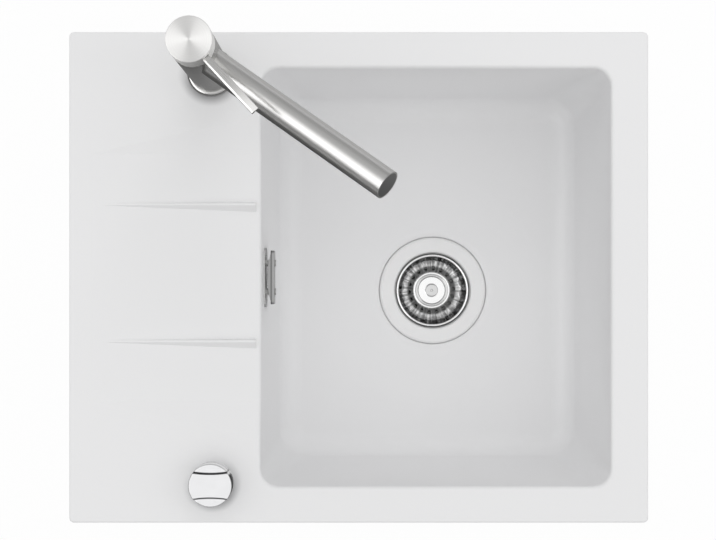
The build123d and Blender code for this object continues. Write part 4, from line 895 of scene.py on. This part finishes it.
def makeThread(name, height, radius, pitch):
    # one pitch of the thread's outline wound up the rod, then cut square at both ends
    depth = thread["depth"] * pitch
    clearSelection()
    bpy.ops.mesh.primitive_plane_add(size=pitch, location=origin)
    piece = bpy.context.object
    piece.name = name
    bpy.ops.object.mode_set(mode="EDIT")
    bpy.ops.mesh.select_all(action="SELECT")
    bpy.ops.mesh.merge(type="CENTER")
    bpy.ops.transform.translate(value=(radius - depth, 0, 0))
    for out, rise in ((depth, "flank"), (0, "flat"), (-depth, "flank"), (0, "flat")):
        step = (out, 0, thread[rise] * pitch)
        bpy.ops.mesh.extrude_region_move(TRANSFORM_OT_translate={"value": step})
    bpy.ops.object.mode_set(mode="OBJECT")
    applyModifier(
        piece,
        "SCREW",
        steps=thread["steps"],
        render_steps=thread["steps"],
        iterations=int(height / pitch) + thread["spare"],
        screw_offset=pitch,
        use_merge_vertices=True,
        merge_threshold=thread["seam"],
    )
    piece.location.z = -thread["drop"] * pitch
    settle(piece)
    bpy.ops.object.mode_set(mode="EDIT")
    for level, outer in ((0, False), (height, True)):
        bpy.ops.mesh.select_all(action="SELECT")
        bpy.ops.mesh.remove_doubles(threshold=thread["weld"])
        bpy.ops.mesh.bisect(
            plane_co=(0, 0, level),
            plane_no=upward,
            threshold=exact,
            use_fill=True,
            clear_outer=outer,
            clear_inner=not outer,
        )
    bpy.ops.object.mode_set(mode="OBJECT")
    return piece


stud = {"pitch": 1.0 * mm}


def makeStud():
    low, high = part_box("tap_stud")
    radius = widthOf("tap_stud") / 2
    piece = makeThread("threadedStud", high.z - low.z, radius, stud["pitch"])
    middle = middleOf("tap_stud")
    piece.location = (middle.x, middle.y, low.z)
    settle(piece)
    finishPiece(piece, "plated", "sink", "tap_stud", thread["smooth"])


makeStud()


clipScrew = {
    "rodRadius": 2.5 * mm,
    "pitch": 0.8 * mm,
    "headRadius": 5 * mm,
    "headHeight": 3.5 * mm,
    "headBevel": 0.5 * mm,
    "footDepth": 0.1 * mm,  # over the lowest point, for a corner of a head's underside
    "headReach": 12.5 * mm,  # within which two corners belong to one head
}


def middleBetween(values):
    return (min(values) + max(values)) / 2


def screwCentres():
    # the middle of each head, from the corners of the node's lowest faces
    node = nodes["clip_screws"]
    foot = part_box("clip_screws")[0].z
    corners = [node.matrix_world @ corner.co for corner in node.data.vertices]
    heads = []
    for corner in corners:
        if corner.z > foot + clipScrew["footDepth"]:
            continue
        for head in heads:
            if (head[0] - corner).length < clipScrew["headReach"]:
                head.append(corner)
                break
        else:
            heads.append([corner])
    return [
        (middleBetween([corner.x for corner in head]), middleBetween([corner.y for corner in head]))
        for head in heads
    ]


def makeClipScrews():
    low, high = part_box("clip_screws")
    head = clipScrew["headHeight"]
    rodFoot = low.z + head
    rod = makeThread("clipScrewSet", high.z - rodFoot, clipScrew["rodRadius"], clipScrew["pitch"])
    clearSelection()
    bpy.ops.mesh.primitive_cylinder_add(
        vertices=6, radius=clipScrew["headRadius"], depth=head, location=(0, 0, -head / 2)
    )
    hexagon = settle(bpy.context.object)
    applyModifier(hexagon, "BEVEL", width=clipScrew["headBevel"], segments=2)
    makeActive(rod)
    bpy.ops.object.join()
    centres = screwCentres()
    screws = [rod]
    for _ in centres[1:]:
        clearSelection()
        makeActive(rod)
        bpy.ops.object.duplicate()
        screws.append(bpy.context.object)
    for screw, (x, y) in zip(screws, centres):
        screw.location = (x, y, rodFoot)
        screw.select_set(True)
    makeActive(rod)
    bpy.ops.object.join()
    settle(rod)
    finishPiece(rod, "plated", "sink", "clip_screws", thread["smooth"])
    print("clip screws at", len(centres), "places")


makeClipScrews()


# studio: a white floor, a soft sky and three soft boxes, and what gloss sees in their place

studio = {
    "floorSize": 9,
    "floorDrop": 1 * mm,
    "floorTones": (0.92, 0.93),
    "mottle": 4,
    "glow": 0.95,  # how much of the floor's white is its own to the camera
    "skyLow": 0.28,
    "skyHigh": 0.97,
    "skyRise": (0, 0.8),  # from the low tone to the high one
}

# soft boxes: place, size and brightness
lamps = {
    "leftBox": ((-1.7, 0.35, 1.15), (0.8, 1.1), 0.25),
    "rightBox": ((1.7, -0.1, 1.15), (0.8, 1.1), 0.70),
    "rearBox": ((0.2, 1.8, 1.2), (1.1, 0.8), 1.55),
}

# tones of the sky that gloss sees, and where one passes into the next
mirrored = {
    "top": 1.12,
    "sides": 1.45,
    "frontAndRear": 0.58,
    "lowLeft": 0.07,
    "lowRight": 0.38,
    "topRise": (0.90, 0.99),
    "sideRise": (-0.15, 0.20),
    "lowRise": (0.30, 0.48),
    "rightRise": (-0.3, 0.4),
}

# bright cards that only gloss sees: place, size and brightness
cards = {
    "spoutCard": ((-1.62, 0.25, 1.30), (0.70, 0.65), 2.2),
    "leverCard": ((-1.19, -0.78, 1.26), (0.50, 0.50), 2.4),
}

# the card that metal over the deck mirrors: its tones, and where one passes into the next
flag = {
    "size": 1.6,
    "height": 0.35 * mm,  # over the rim
    "spoutFront": 0.07,
    "spoutRear": 0.55,
    "spoutRise": (-0.03, 0.10),
    "column": 0.20,
    "columnSide": 0.33,
    "columnRise": (-0.03, 0.05),
    "columnReach": (45 * mm, 75 * mm),
    "knob": 0.75,
    "knobSide": 0.06,
    "knobReach": (60 * mm, 110 * mm),
    "knobAim": -7,
    "knobSpread": 0.8,  # half the width of the knob's dark wedge, for each metre along it
    "knobEdge": 4 * mm,
}


def glowing(finish, colour, strength=1):
    return finish.add("ShaderNodeEmission", None, {"Color": colour, "Strength": strength})


def mixed(finish, share, first, second):
    shader = finish.add("ShaderNodeMixShader", None, {0: share, 1: first, 2: second})
    finish.add("ShaderNodeOutputMaterial", None, {"Surface": shader})
    return finish.owner


def addFloor():
    bpy.ops.mesh.primitive_plane_add(
        size=studio["floorSize"], location=(0, 0, cadLow.z - studio["floorDrop"])
    )
    floor = bpy.context.object
    floor.name = "floor"
    finish = newFinish("floorPaper")
    seen = [
        finish.add("ShaderNodeLightPath", output=kind)
        for kind in ("Is Camera Ray", "Is Glossy Ray", "Is Transmission Ray")
    ]
    share = (seen[0] + seen[1] + seen[2]).above(0.5) * studio["glow"]
    tone = finish.blend(finish.noise(studio["mottle"]), *studio["floorTones"])
    paper = finish.add("ShaderNodeBsdfDiffuse", None, {"Color": tone})
    floor.data.materials.append(mixed(finish, share, paper, glowing(finish, (1, 1, 1, 1))))


def addSky():
    world = bpy.data.worlds.new("studio")
    bpy.context.scene.world = world
    sky = Finish(world)
    way = sky.add("ShaderNodeTexCoord", output="Generated")

    def towards(axis):
        return sky.vector("DOT_PRODUCT", way, tuple(axis), output="Value")

    height = towards(upward)
    light = sky.passing(height, studio["skyRise"], studio["skyLow"], studio["skyHigh"])
    sideways = towards(toRight).size() - towards(toRear).size()
    ring = sky.passing(
        sideways, mirrored["sideRise"], mirrored["frontAndRear"], mirrored["sides"]
    )
    low = sky.passing(
        towards(spoutSide), mirrored["rightRise"], mirrored["lowLeft"], mirrored["lowRight"]
    )
    seen = sky.passing(height, mirrored["lowRise"], low, ring)
    seen = sky.passing(height, mirrored["topRise"], seen, mirrored["top"])
    glossy = sky.add("ShaderNodeLightPath", output="Is Glossy Ray")
    colour = sky.blend(glossy, light, seen)
    background = sky.add("ShaderNodeBackground", None, {"Color": colour, "Strength": 1})
    sky.add("ShaderNodeOutputWorld", None, {"Surface": background})


def turnToSink(place):
    return (-Vector(place)).to_track_quat("-Z", "Y").to_euler()


def addLamp(name, place, size, brightness):
    # a soft box that gloss doesn't see
    lamp = bpy.data.objects.new(name, bpy.data.lights.new(name, "AREA"))
    bpy.context.scene.collection.objects.link(lamp)
    lamp.data.shape = "RECTANGLE"
    lamp.data.size, lamp.data.size_y = size
    lamp.data.energy = brightness * pi * size[0] * size[1]
    lamp.location = place
    lamp.rotation_euler = turnToSink(place)
    lamp.visible_glossy = False


def onlyForGloss(card):
    card.visible_camera = False
    card.visible_diffuse = False
    card.visible_shadow = False
    card.visible_transmission = False


def addCard(name, place, size, brightness):
    # a bright card that only gloss sees
    bpy.ops.mesh.primitive_plane_add(
        size=1, location=place, rotation=turnToSink(place), scale=(*size, 1)
    )
    card = bpy.context.object
    card.name = name
    finish = newFinish(name)
    white = glowing(finish, (1, 1, 1, 1), brightness)
    finish.add("ShaderNodeOutputMaterial", None, {"Surface": white})
    card.data.materials.append(finish.owner)
    onlyForGloss(card)


def flagTone(finish):
    # each metal part over the deck mirrors the tones round its own foot
    beside = finish.along(spoutSide, tap)
    spout = finish.passing(beside, flag["spoutRise"], flag["spoutFront"], flag["spoutRear"])
    right = finish.along(toRight, tap)
    column = finish.passing(right, flag["columnRise"], flag["column"], flag["columnSide"])
    tone = finish.passing(finish.around(upward, tap), flag["columnReach"], column, spout)
    off = finish.along(aimed(flag["knobAim"] + 90), knob).size()
    out = finish.along(aimed(flag["knobAim"]), knob)
    wedge = flag["knobSpread"] * out - off
    foot = finish.passing(wedge, (0, flag["knobEdge"]), flag["knob"], flag["knobSide"])
    return finish.passing(finish.around(upward, knob), flag["knobReach"], foot, tone)


def addFlag():
    # a dark card just over the deck that only gloss can see, and only from above
    bpy.ops.mesh.primitive_plane_add(size=flag["size"], location=(0, 0, rimTop + flag["height"]))
    card = bpy.context.object
    card.name = "flag"
    finish = newFinish("flagCard")
    dark = glowing(finish, flagTone(finish))
    clear = finish.add("ShaderNodeBsdfTransparent")
    behind = finish.add("ShaderNodeNewGeometry", output="Backfacing")
    card.data.materials.append(mixed(finish, behind, dark, clear))
    onlyForGloss(card)


addFloor()
addSky()
addFlag()
for name, (place, size, brightness) in cards.items():
    addCard(name, place, size, brightness)
for name, (place, size, brightness) in lamps.items():
    addLamp(name, place, size, brightness)
print("studio set")
